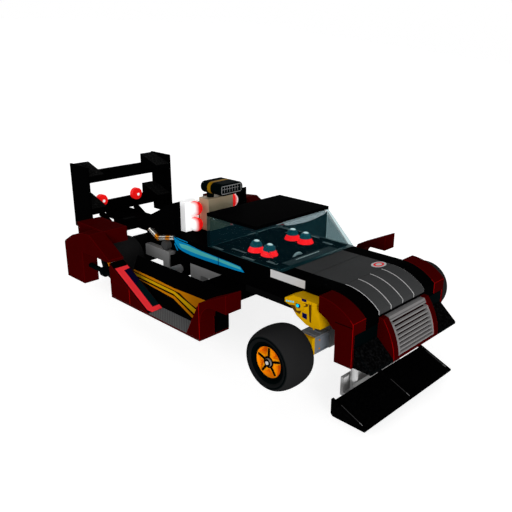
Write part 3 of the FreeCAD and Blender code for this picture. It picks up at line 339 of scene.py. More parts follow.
class FinishSettings(bpy.types.PropertyGroup):
    """Edge size and the colours of the bricks."""

    edge_radius: FloatProperty(
        name="Edge radius", description="Width of the rounded edge of each brick",
        default=0.16 * MM, unit="LENGTH")
    edge_steps: IntProperty(
        name="Edge steps", description="Strips across each rounded edge", default=2, min=1)
    streak_size: FloatProperty(
        name="Streak size", description="Spacing of the gold streaks on the exhausts", default=8.5 * MM,
        unit="LENGTH")
    grain_size: FloatProperty(
        name="Grain size", description="Spacing of the mould's fine grain", default=0.45 * MM,
        unit="LENGTH")
    black: colour("Black", "Colour of the black bricks", (0.0007, 0.0007, 0.0008))
    soft_black: colour("Soft black", "Colour of the paler black bricks", (0.003, 0.003, 0.0031))
    black_fleck: colour("Black fleck", "Paler flecks on grained slopes", (0.009, 0.0093, 0.0096))
    pale_fleck: colour("Pale fleck", "Flecks on the tail's fairings", (0.019, 0.019, 0.019))
    teal_black: colour("Teal black", "Colour of the black bricks that look teal", (0.0003, 0.0018, 0.002))
    dark_red: colour("Dark red", "Colour of the fenders and pods", (0.046, 0.0003, 0.0004))
    # Painted highlights on the rounded edges of the dark red bricks: bright on upright edges, faint on the
    # others
    upright_red_highlight: colour("Bright red", "Upright edges of the dark red bricks", (0.3, 0.0006, 0.001))
    red_edge_highlight: colour("Red edge", "Other edges of the dark red bricks", (0.075, 0.0005, 0.0008))
    hood_grey: colour("Hood grey", "Colour of the hood's slopes", (0.05, 0.051, 0.052))
    # Painted highlight: the pale colour of the hood's rounded seam edges
    hood_edge_highlight: colour("Pale edge", "Edges of the hood's slopes", (0.5, 0.5, 0.5))
    light_grey: colour("Light grey", "Colour of the frames and brackets", (0.22, 0.22, 0.22))
    louvre_grey: colour("Louvre grey", "Colour of the grille", (0.2, 0.193, 0.193))
    # Painted shade: the dark strip that stands for the shade between the louvres
    slot_shade_red: colour("Slot red", "Shade between the louvres", (0.012, 0.001, 0.001))
    # Painted highlight: faint pale lines along the front wing's edges
    wing_highlight_grey: colour("Line grey", "Faint lines up the front wing", (0.045, 0.045, 0.045))
    pale_grey: colour("Pale grey", "Colour of the front wing's brackets", (0.66, 0.66, 0.66))
    blue_grey: colour("Blue grey", "Colour of the hub blocks", (0.17, 0.19, 0.22))
    yellow: colour("Yellow", "Colour of the front arms", (0.76, 0.41, 0.0008))
    # Painted shade: the dark yellow in the arms' gaps
    yellow_shade: colour("Shaded yellow", "Slots in the front arms", (0.12, 0.05, 0.004))
    gold: colour("Gold", "Colour of the wheel dishes", (0.76, 0.25, 0.001))
    dull_gold: colour("Dull gold", "Colour of the scoop's band", (0.25, 0.13, 0.003))
    tan: colour("Tan", "Colour of the tower", (0.4, 0.31, 0.2))
    white: colour("White", "Colour of the lamp blocks", (0.86, 0.86, 0.86))
    silver: colour("Silver", "Plated exhausts", (0.62, 0.6, 0.56))
    lamp_red: colour("Lamp red", "Clear red lamps", (0.8, 0.008, 0.008))
    # Painted light: the red rings glow
    ring_red: colour("Ring red", "Glowing red rings", (0.85, 0.004, 0.006))
    # Painted light: the clear domes glow
    ice_blue: colour("Ice blue", "Glowing clear domes", (0.001, 0.045, 0.06))
    smoke: colour("Smoke", "Tint of the canopy", (0.5, 0.62, 0.63))
    glass_edge: colour("Glass edge", "Edges of the canopy's panes", (0.002, 0.016, 0.019))
    # Painted light: the canopy's panes glow faintly teal
    painted_teal_glow: colour("Teal gleam", "Faint light of the canopy's panes", (0.1, 0.72, 1.0))
    rubber: colour("Rubber", "Colour of the tyres' tread", (0.0165, 0.0165, 0.017))
    rubber_side: colour("Rubber side", "Colour of the tyres' sides", (0.007, 0.0078, 0.0082))


class PrintSettings(bpy.types.PropertyGroup):
    """Thickness and colours of the printed stripes."""

    thickness: FloatProperty(
        name="Print thickness", description="Height of a print over its brick",
        default=0.03 * MM, unit="LENGTH")
    orange: colour("Orange", "Broad pod stripe", (0.5, 0.17, 0.0015))
    yellow: colour("Yellow", "Middle pod stripe", (0.56, 0.32, 0.002))
    red: colour("Red", "Band round the ramp's field", (0.95, 0.035, 0.045))
    deep_teal: colour("Deep teal", "Field on the ramp", (0.0012, 0.008, 0.01))
    dusk: colour("Dusk", "Top of the ramp's field", (0.0025, 0.0012, 0.018))
    blue: colour("Blue", "Arrow on the body's side", (0.001, 0.25, 0.55))
    teal: colour("Teal", "Core of the arrow", (0.08, 0.5, 0.5))
    paper: colour("Paper", "Blank name plate", (0.62, 0.62, 0.62))
    navy: colour("Navy", "Marks on the front arms", (0.001, 0.003, 0.06))
    cyan: colour("Cyan", "Lights on the front arms", (0.004, 0.5, 0.72))


class WheelSettings(bpy.types.PropertyGroup):
    """Sizes of the tyres and the rims, as in the CAD model."""

    steps: IntProperty(name="Steps", description="Strips round a wheel", default=96, min=24)
    half_width: FloatProperty(
        name="Half width", description="Half the tyre's width", default=7.4 * MM, unit="LENGTH")
    radius: FloatProperty(
        name="Tyre radius", description="Radius of the tyre at its crown", default=12.1 * MM, unit="LENGTH")
    rim_radius: FloatProperty(
        name="Rim radius", description="Radius where the tyre meets the rim", default=6.8 * MM,
        unit="LENGTH")
    rim_half: FloatProperty(
        name="Rim half width", description="Half the rim's width", default=6.0 * MM, unit="LENGTH")
    dish_depth: FloatProperty(
        name="Dish depth", description="Depth of the dished face", default=4.2 * MM, unit="LENGTH")
    hub_radius: FloatProperty(
        name="Hub radius", description="Radius of the black hub", default=2.3 * MM, unit="LENGTH")
    rib_reach: FloatProperty(
        name="Rib reach", description="How far out the black ribs go", default=5.5 * MM, unit="LENGTH")
    rib_width: FloatProperty(
        name="Rib width", description="Width of a black rib", default=0.8 * MM, unit="LENGTH")
    groove: FloatProperty(
        name="Groove", description="Depth of the rings moulded in the side", default=0.14 * MM,
        unit="LENGTH")


# Shader parts

def add(tree, kind, settings=None, **inputs):
    """A shader node with its settings, and its inputs set or linked by name."""
    made = tree.nodes.new("ShaderNode" + kind)
    for name, value in (settings or {}).items():
        setattr(made, name, value)
    for name, value in inputs.items():
        feed(tree, made.inputs[name.replace("_", " ")], value)
    return made


def feed(tree, socket, value):
    """Link a socket to another one, or set its value."""
    if isinstance(value, bpy.types.NodeSocket):
        tree.links.new(value, socket)
    else:
        socket.default_value = value


def reckon(tree, operation, first, second=0.0):
    """A sum on two values or sockets."""
    made = tree.nodes.new("ShaderNodeMath")
    made.operation = operation
    feed(tree, made.inputs[0], first)
    feed(tree, made.inputs[1], second)
    return made.outputs[0]


def blend(tree, amount, first, second, way="MIX"):
    """Two colours mixed by an amount."""
    made = tree.nodes.new("ShaderNodeMix")
    made.data_type = "RGBA"
    made.blend_type = way
    feed(tree, made.inputs[0], amount)
    feed(tree, made.inputs[6], first)
    feed(tree, made.inputs[7], second)
    return made.outputs[2]


def full(value):
    """A colour property with its alpha."""
    return (*value, 1)


def grain_group():
    """Moulded plastic: a slightly uneven colour and gloss, flecks, and the grain's height."""
    group = bpy.data.node_groups.get("moulded_grain")
    if group:
        return group
    group = bpy.data.node_groups.new("moulded_grain", "ShaderNodeTree")
    for name, kind in (
        ("Colour", "NodeSocketColor"), ("Fleck colour", "NodeSocketColor"),
        ("Unevenness", "NodeSocketFloat"), ("Flecks", "NodeSocketFloat"),
        ("Grain", "NodeSocketFloat"), ("Roughness", "NodeSocketFloat"),
    ):
        group.interface.new_socket(name, in_out="INPUT", socket_type=kind)
    for name, kind in (
        ("Colour", "NodeSocketColor"), ("Roughness", "NodeSocketFloat"), ("Height", "NodeSocketFloat"),
    ):
        group.interface.new_socket(name, in_out="OUTPUT", socket_type=kind)
    given = group.nodes.new("NodeGroupInput").outputs
    place = add(group, "TexCoord").outputs["Object"]
    broad = add(group, "TexNoise", Vector=place, Scale=BROAD_SCALE, Detail=3.0).outputs[0]
    fine = add(group, "TexNoise", Vector=place, Scale=given["Grain"], Detail=4.0, Roughness=0.6).outputs[0]
    swing = reckon(group, "MULTIPLY", reckon(group, "SUBTRACT", broad, 0.5), given["Unevenness"])
    shade = reckon(group, "ADD", reckon(group, "MULTIPLY", swing, 3.0), 1.0)
    tone = add(group, "CombineColor", Red=shade, Green=shade, Blue=shade).outputs[0]
    base = blend(group, 1.0, given["Colour"], tone, "MULTIPLY")
    peak = add(group, "MapRange", Value=fine, From_Min=0.47, From_Max=0.66).outputs[0]
    cover = reckon(group, "MULTIPLY", peak, given["Flecks"])
    rough = reckon(group, "ADD", given["Roughness"], swing)
    result = group.nodes.new("NodeGroupOutput").inputs
    feed(group, result["Colour"], blend(group, cover, base, given["Fleck colour"]))
    feed(group, result["Roughness"], rough)
    feed(group, result["Height"], fine)
    return group


def new_material(name):
    """A material with its shader nodes."""
    material = bpy.data.materials.new(name)
    material.use_nodes = True
    return material


def plastic(
        name, tint, roughness=0.4, gloss=0.08, uneven=0.08, flecks=0.0, fleck=None, coarse=1.0, bump=0.1,
        glow=0.0):
    """Moulded plastic of one colour, made once: grain, flecks and its own glow, which is a lamp's light or
    painted light on parts that are no lamps.
    """
    if name in bpy.data.materials:
        return bpy.data.materials[name]
    material = new_material(name)
    tree = material.node_tree
    shader = tree.nodes["Principled BSDF"]
    grain = tree.nodes.new("ShaderNodeGroup")
    grain.node_tree = grain_group()
    size = bpy.context.scene.toy_finish.grain_size * coarse
    for socket, value in (
        ("Colour", full(tint)), ("Fleck colour", full(fleck or tint)), ("Unevenness", uneven),
        ("Flecks", flecks), ("Grain", 1 / size), ("Roughness", roughness),
    ):
        grain.inputs[socket].default_value = value
    tree.links.new(grain.outputs["Colour"], shader.inputs["Base Color"])
    tree.links.new(grain.outputs["Roughness"], shader.inputs["Roughness"])
    lift = add(tree, "Bump", Strength=bump, Distance=size / 4, Height=grain.outputs["Height"])
    tree.links.new(lift.outputs[0], shader.inputs["Normal"])
    shader.inputs["Specular IOR Level"].default_value = gloss
    if glow:
        tree.links.new(grain.outputs["Colour"], shader.inputs["Emission Color"])
        shader.inputs["Emission Strength"].default_value = glow
    return material


def look(name):
    """The material of one kind of brick or print."""
    tones = bpy.context.scene.toy_finish
    inks = bpy.context.scene.toy_print
    grained = dict(gloss=0.0002, roughness=0.7, coarse=1.8, bump=0.4)
    kinds = {
        "black": dict(tint=tones.black, gloss=0.0002),
        "soft_black": dict(tint=tones.soft_black, gloss=0.0002),
        "grained": dict(tint=tones.black, flecks=0.8, fleck=tones.black_fleck, **grained),
        "grained_dark": dict(tint=tones.black, flecks=0.2, fleck=tones.black_fleck, **grained),
        "grained_pale": dict(tint=tones.soft_black, flecks=1.0, fleck=tones.pale_fleck, **grained),
        "teal_black": dict(tint=tones.teal_black, gloss=0.001),
        "dark_red": dict(tint=tones.dark_red, gloss=0.0002, uneven=0.14),
        # Painted highlights on the red bricks' rounded edges
        "upright_red_highlight": dict(tint=tones.upright_red_highlight, gloss=0.002),
        "red_edge_highlight": dict(tint=tones.red_edge_highlight, gloss=0.001),
        "hood_grey": dict(
            tint=tones.hood_grey, gloss=0.001, roughness=0.5, flecks=0.04, fleck=tones.light_grey),
        # Painted highlight on the hood's seam edges
        "hood_edge_highlight": dict(tint=tones.hood_edge_highlight, gloss=0.15),
        # Painted shade between the louvres
        "slot_shade_red": dict(tint=tones.slot_shade_red, gloss=0.01),
        "wing_highlight_grey": dict(tint=tones.wing_highlight_grey, gloss=0.03),
        "glass_edge": dict(tint=tones.glass_edge, gloss=0.02, roughness=0.3),
        "light_grey": dict(tint=tones.light_grey, gloss=0.2, roughness=0.5),
        "louvre_grey": dict(tint=tones.louvre_grey, gloss=0.1, roughness=0.45),
        "pale_grey": dict(tint=tones.pale_grey, gloss=0.1, roughness=0.45),
        "blue_grey": dict(tint=tones.blue_grey, gloss=0.2, roughness=0.5),
        "yellow": dict(tint=tones.yellow, gloss=0.005, uneven=0.12),
        "yellow_shade": dict(tint=tones.yellow_shade, gloss=0.005),
        # The gold's glow is painted light on the wheel dishes
        "gold": dict(tint=tones.gold, gloss=0.02, roughness=0.35, uneven=0.2, glow=0.15),
        "dull_gold": dict(tint=tones.dull_gold, gloss=0.005, roughness=0.35, uneven=0.3),
        "tan": dict(tint=tones.tan, gloss=0.15, roughness=0.5),
        "white": dict(tint=tones.white, gloss=0.2, glow=0.35),
        "lamp_red": dict(tint=tones.lamp_red, gloss=0.1, roughness=0.15, glow=0.5),
        # The rings' glow is painted light
        "ring_red": dict(tint=tones.ring_red, gloss=0.2, roughness=0.2, glow=1.6),
        "rubber": dict(tint=tones.rubber, gloss=0.001, roughness=0.75, uneven=0.1, bump=0.25),
        "rubber_side": dict(tint=tones.rubber_side, gloss=0.001, roughness=0.7, uneven=0.1, bump=0.2),
        "print_orange": dict(tint=inks.orange, gloss=0.001, uneven=0.16),
        "print_yellow": dict(tint=inks.yellow, gloss=0.001, uneven=0.16),
        "print_red": dict(tint=inks.red, gloss=0.001, uneven=0.16),
        "print_field": dict(tint=inks.deep_teal, gloss=0.001, uneven=0.2),
        "print_dusk": dict(tint=inks.dusk, gloss=0.001, uneven=0.2),
        "print_blue": dict(tint=inks.blue, gloss=0.001, uneven=0.16),
        "print_teal": dict(tint=inks.teal, gloss=0.001, uneven=0.16),
        "print_paper": dict(tint=inks.paper, gloss=0.001, uneven=0.06),
        # White print that glows with painted light: on the hood's dashes, and as the painted highlight on
        # each tail lamp
        "white_print_and_highlight": dict(tint=inks.paper, gloss=0.001, uneven=0.06, glow=1.0),
        "print_grey": dict(tint=tones.light_grey, gloss=0.001, uneven=0.1),
        # The glow of the cyan marks, the arm's lens and the orange hub pins is painted light
        "print_cyan": dict(tint=inks.cyan, gloss=0.001, uneven=0.1, glow=0.6),
        "print_pin": dict(tint=inks.orange, gloss=0.001, uneven=0.1, glow=0.3),
        "print_navy": dict(tint=inks.navy, gloss=0.001, uneven=0.1),
    }
    return plastic(name, **kinds[name])


def silver_material():
    """Plated plastic: mirror bright silver with gold streaks along it."""
    tones = bpy.context.scene.toy_finish
    material = plastic("silver", tones.silver, roughness=0.22, uneven=0.2)
    tree = material.node_tree
    shader = tree.nodes["Principled BSDF"]
    shader.inputs["Metallic"].default_value = 0.9
    place = add(tree, "TexCoord").outputs["Object"]
    along = add(tree, "SeparateXYZ", Vector=place).outputs["X"]
    wave = reckon(tree, "SINE", reckon(tree, "MULTIPLY", along, math.tau / tones.streak_size))
    streak = add(tree, "MapRange", Value=wave, From_Min=0.1, From_Max=0.5).outputs[0]
    tree.links.new(blend(tree, streak, full(tones.silver), full(tones.gold)), shader.inputs["Base Color"])
    return material


def fading_lamp():
    """A red lamp that pales to white away from the tower."""
    tones = bpy.context.scene.toy_finish
    material = plastic("fading_lamp", tones.lamp_red, roughness=0.2, gloss=0.1, glow=0.5)
    tree = material.node_tree
    shader = tree.nodes["Principled BSDF"]
    place = add(tree, "TexCoord").outputs["Object"]
    across = reckon(tree, "ABSOLUTE", add(tree, "SeparateXYZ", Vector=place).outputs["Y"])
    share = add(
        tree, "MapRange", Value=across, From_Min=LAMP_RED_TO, From_Max=LAMP_WHITE_FROM).outputs[0]
    mixed = blend(tree, share, full(tones.lamp_red), full(tones.white))
    tree.links.new(mixed, shader.inputs["Base Color"])
    tree.links.new(mixed, shader.inputs["Emission Color"])
    return material


def glass_material(name, tint, painted_glow):
    """Smoked clear plastic: a tint, slight smears and a faint painted teal glow."""
    material = new_material(name)
    tree = material.node_tree
    shader = tree.nodes["Principled BSDF"]
    shader.inputs["Base Color"].default_value = full(tint)
    shader.inputs["Transmission Weight"].default_value = 1.0
    shader.inputs["IOR"].default_value = PANE_BEND
    shader.inputs["Emission Color"].default_value = full(bpy.context.scene.toy_finish.painted_teal_glow)
    shader.inputs["Emission Strength"].default_value = painted_glow
    place = add(tree, "TexCoord").outputs["Object"]
    smear = add(tree, "TexNoise", Vector=place, Scale=SMEAR_SCALE, Detail=2.0).outputs[0]
    rough = add(tree, "MapRange", Value=smear, To_Min=0.01, To_Max=0.05).outputs[0]
    tree.links.new(rough, shader.inputs["Roughness"])
    return material


def dome_material():
    """Clear ice blue domes that glow with painted light, and a painted white highlight at the top."""
    tones = bpy.context.scene.toy_finish
    material = plastic("ice_blue", tones.ice_blue, roughness=0.12, gloss=0.2, glow=1.0)
    tree = material.node_tree
    shader = tree.nodes["Principled BSDF"]
    facing = add(tree, "NewGeometry").outputs["Normal"]
    height = add(tree, "SeparateXYZ", Vector=facing).outputs["Z"]
    spot = add(tree, "MapRange", Value=height, From_Min=0.86, From_Max=0.95).outputs[0]
    painted_highlight = blend(tree, spot, full(tones.ice_blue), DOME_PAINTED_HIGHLIGHT)
    tree.links.new(painted_highlight, shader.inputs["Emission Color"])
    return material


def mesh_material():
    """The ledge in the pod: a dark woven mesh of slanting lines."""
    tones = bpy.context.scene.toy_finish
    material = plastic("woven_mesh", tones.black, roughness=0.6, gloss=0.001)
    tree = material.node_tree
    shader = tree.nodes["Principled BSDF"]
    grain = next(node for node in tree.nodes if node.type == "GROUP")
    place = add(tree, "TexCoord").outputs["Object"]
    turned = add(tree, "Mapping", Vector=place)
    turned.inputs["Rotation"].default_value = (0, 0, WEAVE_TURN)
    lines, cross = [
        add(tree, "TexWave", {"bands_direction": way}, Vector=turned.outputs[0], Scale=WEAVE_SCALE)
        for way in "XY"
    ]
    faint = reckon(tree, "MULTIPLY", cross.outputs["Fac"], 0.6)
    weave = reckon(tree, "MAXIMUM", lines.outputs["Fac"], faint)
    woven = blend(tree, weave, grain.outputs["Colour"], WEAVE_TONE)
    tree.links.new(woven, shader.inputs["Base Color"])
    return material


# Shapes

def link(piece):
    """Put an object in the scene."""
    bpy.context.scene.collection.objects.link(piece)
    return piece


def at(x, y, z):
    """A place of the level frame, in studs, in the stored frame."""
    return LEVEL @ (Vector((x, y, z)) * STUD)


def finish_mesh(name, shape, materials, flat=False):
    """An object from a bmesh: smooth over its curves and rounded edges, sharp at hard corners."""
    mesh = bpy.data.meshes.new(name)
    for face in shape.faces:
        face.smooth = not flat
    shape.to_mesh(mesh)
    shape.free()
    for material in materials:
        mesh.materials.append(material)
    piece = link(bpy.data.objects.new(name, mesh))
    if not flat:
        mesh.set_sharp_from_angle(angle=SHARP)
        weighted = piece.modifiers.new("even shading", "WEIGHTED_NORMAL")
        weighted.keep_sharp = True
    return piece


def round_edges(shape, radius, edges=None):
    """Round the hard edges. The edges function gives the number of a rounded face's material."""
    steps = bpy.context.scene.toy_finish.edge_steps
    hard = [
        edge for edge in shape.edges if len(edge.link_faces) == 2 and edge.calc_face_angle() > HARD
    ]
    made = bmesh.ops.bevel(
        shape, geom=hard, offset=radius, offset_type="OFFSET", affect="EDGES", segments=steps,
        profile=0.5, material=-1, clamp_overlap=True)
    if edges:
        for face in made["faces"]:
            if edges(face):
                face.material_index = edges(face)


def dress(node, materials, faces=None, edges=None, radius=None, body="car", added=None):
    """The finished copy of a CAD node: merged, its edges rounded, and painted.

    The faces function gives the number of a face's material, and the edges function that of a
    rounded edge's face, where it isn't zero. The added function puts more into the shape.
    """
    shape = bmesh.new()
    shape.from_mesh(frame["nodes"][node].data)
    bmesh.ops.remove_doubles(shape, verts=shape.verts, dist=SAME_PLACE)
    bmesh.ops.dissolve_limit(
        shape, angle_limit=FLAT, verts=shape.verts, edges=shape.edges, delimit={"NORMAL"})
    if faces:
        for face in shape.faces:
            face.material_index = faces(face)
    radius = bpy.context.scene.toy_finish.edge_radius if radius is None else radius
    if radius:
        round_edges(shape, radius, edges)
    if added:
        added(shape)
    piece = finish_mesh(node + "_finish", shape, materials)
    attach(piece, body)
    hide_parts(node)
    return piece


def every_edge(face):
    """Every rounded edge has the second material."""
    return 1


def seam_edge(face):
    """One for a rounded edge that runs along the car, beside a seam between two bricks, where it gets a
    pale painted highlight.
    """
    return int(0.2 < abs(level_normal(face).y) < 0.96)


def upright_edge(face):
    """One for a rounded edge that is level or nearly so, two for one that is upright: a faint and a bright
    painted highlight.
    """
    return 2 if abs(level_normal(face).z) < 0.3 else 1


def level_normal(face):
    """The way a face looks, in the level frame."""
    return TO_LEVEL.to_3x3() @ face.normal


def level_centre(face):
    """A face's middle in studs of the level frame."""
    return TO_LEVEL @ face.calc_center_median() / STUD


def level_box(node, side):
    """The corners, in studs of the level frame, of what a CAD node has on one side of the car."""
    places = [TO_LEVEL @ vert.co / STUD for vert in frame["nodes"][node].data.vertices]
    places = [place for place in places if place.y * side > 0]
    low = Vector([min(place[axis] for place in places) for axis in range(3)])
    high = Vector([max(place[axis] for place in places) for axis in range(3)])
    return low, high


def prints(name, layers):
    """Thin printed shapes. Each layer is a look or material, which way is out, a lift and its corners."""
    thickness = bpy.context.scene.toy_print.thickness
    shape = bmesh.new()
    looks = []
    for kind, outward, lift, corners in layers:
        kind = look(kind) if isinstance(kind, str) else kind
        if kind not in looks:
            looks.append(kind)
        rise = (LEVEL.to_3x3() @ outward).normalized() * thickness
        foot = shape.faces.new([shape.verts.new(corner + rise * lift) for corner in corners])
        foot.material_index = looks.index(kind)
        made = bmesh.ops.extrude_face_region(shape, geom=[foot], use_keep_orig=True)
        raised = [item for item in made["geom"] if isinstance(item, bmesh.types.BMVert)]
        bmesh.ops.translate(shape, verts=raised, vec=rise)
        for vert in raised:
            for face in vert.link_faces:
                face.material_index = looks.index(kind)
    bmesh.ops.recalc_face_normals(shape, faces=shape.faces)
    piece = finish_mesh(name, shape, looks, flat=True)
    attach(piece, "car")


def lathe(shape, centre, profile, steps):
    """A closed profile of offsets and radii, spun round an axle that runs across the car."""
    ring = [shape.verts.new(centre + Vector((0, across, out))) for across, out in profile]
    edges = [shape.edges.new((first, second)) for first, second in zip(ring, ring[1:] + ring[:1])]
    bmesh.ops.spin(
        shape, geom=ring + edges, cent=centre, axis=Vector((0, 1, 0)), angle=math.tau, steps=steps,
        use_merge=True)
    bmesh.ops.recalc_face_normals(shape, faces=shape.faces)


def box(shape, low, high):
    """A box between two corners of the level frame, in studs."""
    middle = (Vector(low) + Vector(high)) / 2
    span = Vector(high) - Vector(low)
    place = LEVEL @ Matrix.Translation(middle * STUD) @ Matrix.Diagonal((*(span * STUD), 1))
    bmesh.ops.create_cube(shape, size=1, matrix=place)


def pin(shape, centre, outward, radius, length, steps=24):
    """A short round pin or lens that stands on a face of the level frame."""
    turn = Vector(outward).to_track_quat("Z", "Y").to_matrix().to_4x4()
    foot = LEVEL @ Matrix.Translation(Vector(centre) * STUD)
    bmesh.ops.create_cone(
        shape, cap_ends=True, segments=steps, radius1=radius, radius2=radius * PIN_TAPER, depth=length,
        matrix=foot @ turn @ Matrix.Translation((0, 0, length / 2)))


def loose_piece(name, shape, kind):
    """A small added piece that no CAD node stands for."""
    round_edges(shape, FINE_EDGE)
    piece = finish_mesh(name, shape, [look(kind)])
    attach(piece, "car")


# Pieces

def make_hood():
    """The grey hood with its dashes and ring, and the black edges beside it."""
    grey = look("hood_grey")
    # The slopes' seam edges get a pale painted highlight
    dress("hood_slopes", [grey, look("hood_edge_highlight")], edges=seam_edge)
    dress("hood_deck", [grey])
    dress("hood_edges", [look("black")])
    dashes = []
    for count in range(DASH_COUNT):
        start = DASH_FROM + count * DASH_PITCH
        corners = top_strip(DASH_AT, DASH_AT + DASH_SIZE, start, start + DASH_SIZE)
        dashes.append(("white_print_and_highlight", UP, 1, corners))
    prints("hood_dashes", dashes)
    rings = []
    for kind, share in BADGE_RINGS:
        turns = [step * math.tau / BADGE_STEPS for step in range(BADGE_STEPS)]
        corners = [
            at(BADGE_AT[0] + BADGE_REACH[0] * share * math.cos(turn),
               BADGE_AT[1] + BADGE_REACH[1] * share * math.sin(turn), 1)
            for turn in turns
        ]
        rings.append((kind, UP, len(rings) + 1, corners))
    prints("hood_badge", rings)


def top_strip(back, front, inner, outer):
    """The corners of a strip on the level top of the body, one stud over the hood's foot."""
    return [at(x, y, 1) for x, y in ((back, inner), (front, inner), (front, outer), (back, outer))]


def make_body():
    """The black tub, sills, dash and roof, with the blue arrow and the blank plate on each side."""
    dress("body_tub", [look("black")])
    dress("body_sills", [look("soft_black")])
    dress("dash_panel", [look("teal_black")])
    dress("roof_panel", [look("black")])
    shapes = [("print_blue", 0, outline) for outline in (SIDE_BLUE, *SIDE_FORKS)]
    shapes += [("print_teal", 1, SIDE_CORE), ("print_navy", 2, SIDE_SEAM)]
    for side, label in SIDES:
        arrow = [side_print(kind, side, BODY_SIDE, lift, outline) for kind, lift, outline in shapes]
        prints("side_arrow_" + label, arrow)
        plate = side_print("print_paper", side, BODY_SIDE, 0, NAME_PLATE)
        prints("name_plate_" + label, [plate])


def side_print(kind, side, out, lift, outline):
    """A print on a face that looks sideways, from places along the car and up."""
    return kind, Vector((0, side, 0)), lift, [at(x, side * out, z) for x, z in outline]


def make_fenders():
    """The dark red fenders with painted highlights on their rounded edges, brightest on the upright ones,
    and the rods under them.
    """
    red, edge, bright = look("dark_red"), look("red_edge_highlight"), look("upright_red_highlight")
    for node in ("front_fender_left", "front_fender_right", "grille_surround"):
        dress(node, [red, edge, bright], edges=upright_edge)
    for node in ("rear_fender_left", "rear_fender_right"):
        dress(node, [red, edge], edges=every_edge)
    dress("fender_rods", [look("teal_black")])
    for side, label in SIDES:
        seam = side_print("black", side, FENDER_SIDE, 0, FENDER_SEAM)
        prints("fender_seam_" + label, [seam])


def make_nose():
    """The brows, the grained chins, and the grille with a dark strip of painted shade behind each louvre.
    """
    dress("bumper_brows", [look("teal_black")])
    dress("bumper_chins", [look("grained"), look("teal_black")], edges=every_edge)
    dress("nose_grille", [look("louvre_grey")], radius=FINE_EDGE)
    shade_strips = []
    for row in range(1, LOUVRE_ROWS):
        top = NOSE_CREST - LOUVRE_PITCH * (row + 0.75)
        face = nose_reach(top)
        front, back = [(face - out, top + LOUVRE_SLANT * out) for out in (SLOT_FRONT, SLOT_BACK)]
        corners = [at(x, y, z) for (x, z), y in (
            (front, -SLOT_HALF), (front, SLOT_HALF), (back, SLOT_HALF), (back, -SLOT_HALF))]
        # Each strip is painted shade under the louvre above it
        shade_strips.append(("slot_shade_red", Vector((-LOUVRE_SLANT, 0, 1)), 0, corners))
    prints("grille_slot_shade", shade_strips)


def nose_reach(height):
    """How far forward the rounded nose reaches at a height of the level frame, in studs."""
    share = (NOSE_FOOT - height) / (NOSE_FOOT - NOSE_CREST)
    return NOSE_JUT - (NOSE_JUT - NOSE_LIP) * share ** 2


def make_wings():
    """The front wing with its painted highlight lines, and the tail with its fairings, lamps and painted
    glints.
    """
    black = look("black")
    dress("front_wing", [look("grained_dark")])
    lines = []
    for start, end, middle in WING_HIGHLIGHTS:
        lines += wing_highlight_line(start, end, middle)
    prints("wing_highlight_lines", lines)
    for node in ("mudguards", "tail_beam"):
        dress(node, [black])
    dress("tail_struts", [black])
    dress("tail_wing", [black, look("grained_pale")], faces=fairing)
    dress("tail_lamps", [look("lamp_red")])
    for side, label in SIDES:
        low, high = level_box("tail_lamps", side)
        middle = (low + high) / 2
        # A white glowing pin: a painted highlight on the lamp
        glint = bmesh.new()
        pin(glint, (high.x, middle.y + GLINT_SHIFT[0], middle.z + GLINT_SHIFT[1]), AHEAD, GLINT_RADIUS,
            GLINT_LENGTH)
        loose_piece("tail_painted_glint_" + label, glint, "white_print_and_highlight")
    dress("wing_carriers", [look("pale_grey"), look("louvre_grey")], edges=every_edge)


def wing_highlight_line(start, end, middle):
    """One painted highlight line up the wing's slope: faint, with a brighter front end."""
    line = []
    for kind, back, front in (("wing_highlight_grey", start, end - LINE_TIP), ("light_grey", end - LINE_TIP, end)):
        places = ((back, -LINE_HALF), (front, -LINE_HALF), (front, LINE_HALF), (back, LINE_HALF))
        corners = [at(x, middle + y, WING_TOP - WING_SLOPE * x) for x, y in places]
        line.append((kind, Vector((WING_SLOPE, 0, 1)), 0, corners))
    return line


def fairing(face):
    """One for a face of the tail's grained fairings, which are neither level nor upright."""
    return int(0.25 < abs(level_normal(face).z) < 0.97)


def make_canopy():
    """The smoked canopy, and the tinted sheets that paint shade on its far window."""
    clear = glass_material("smoked_clear", bpy.context.scene.toy_finish.smoke, CANOPY_PAINTED_GLOW)
    dress("canopy_glass", [clear, look("glass_edge")], faces=canopy_foot, edges=every_edge,
          radius=FINE_EDGE)
    inward = Vector((0, -1, 0))
    for name, tint, outline in WINDOW_SHADES:
        film = glass_material("film_" + name, tint, 0)
        corners = [at(x, WINDOW_INSIDE, z) for x, z in outline]
        prints("window_shade_" + name, [(film, inward, 0, corners)])


def canopy_foot(face):
    """One for the narrow faces round the canopy's open foot."""
    return int(abs(level_normal(face).z) > 0.9 and level_centre(face).z < 1.1)


def make_cockpit():
    """The domes on their red rings, the steering wheel and the grey strips on the sills."""
    dress("cockpit_rings", [look("ring_red")])
    dress("cockpit_domes", [dome_material()], radius=0)
    dress("steering_wheel", [look("pale_grey")], radius=0)
    strips = []
    for side in (NEAR, FAR):
        for back, front, inner, outer in SILL_STRIPS:
            strips.append(("print_grey", UP, 1, top_strip(back, front, side * inner, side * outer)))
    prints("cabin_sill_strips", strips)


def make_running_gear():
    """The yellow arms, the hub blocks, the carriers and the axles, with their small trim."""
    dress("suspension_arms", [look("yellow")])
    dress("hub_blocks", [look("blue_grey"), look("light_grey")], edges=every_edge)
    dress("axle_carrier_front", [look("light_grey")])
    dress("axle_carrier_rear", [look("soft_black")])
    for end in ("front", "rear"):
        dress("axle_" + end, [look("light_grey"), look("teal_black")], faces=axle_end)
    for side, label in SIDES:
        trim_arm(side, label)
        trim_hub(side, label)
        trim_axles(side, label)


def axle_end(face):
    """One for the round end of an axle."""
    return int(abs(level_normal(face).y) > 0.9)


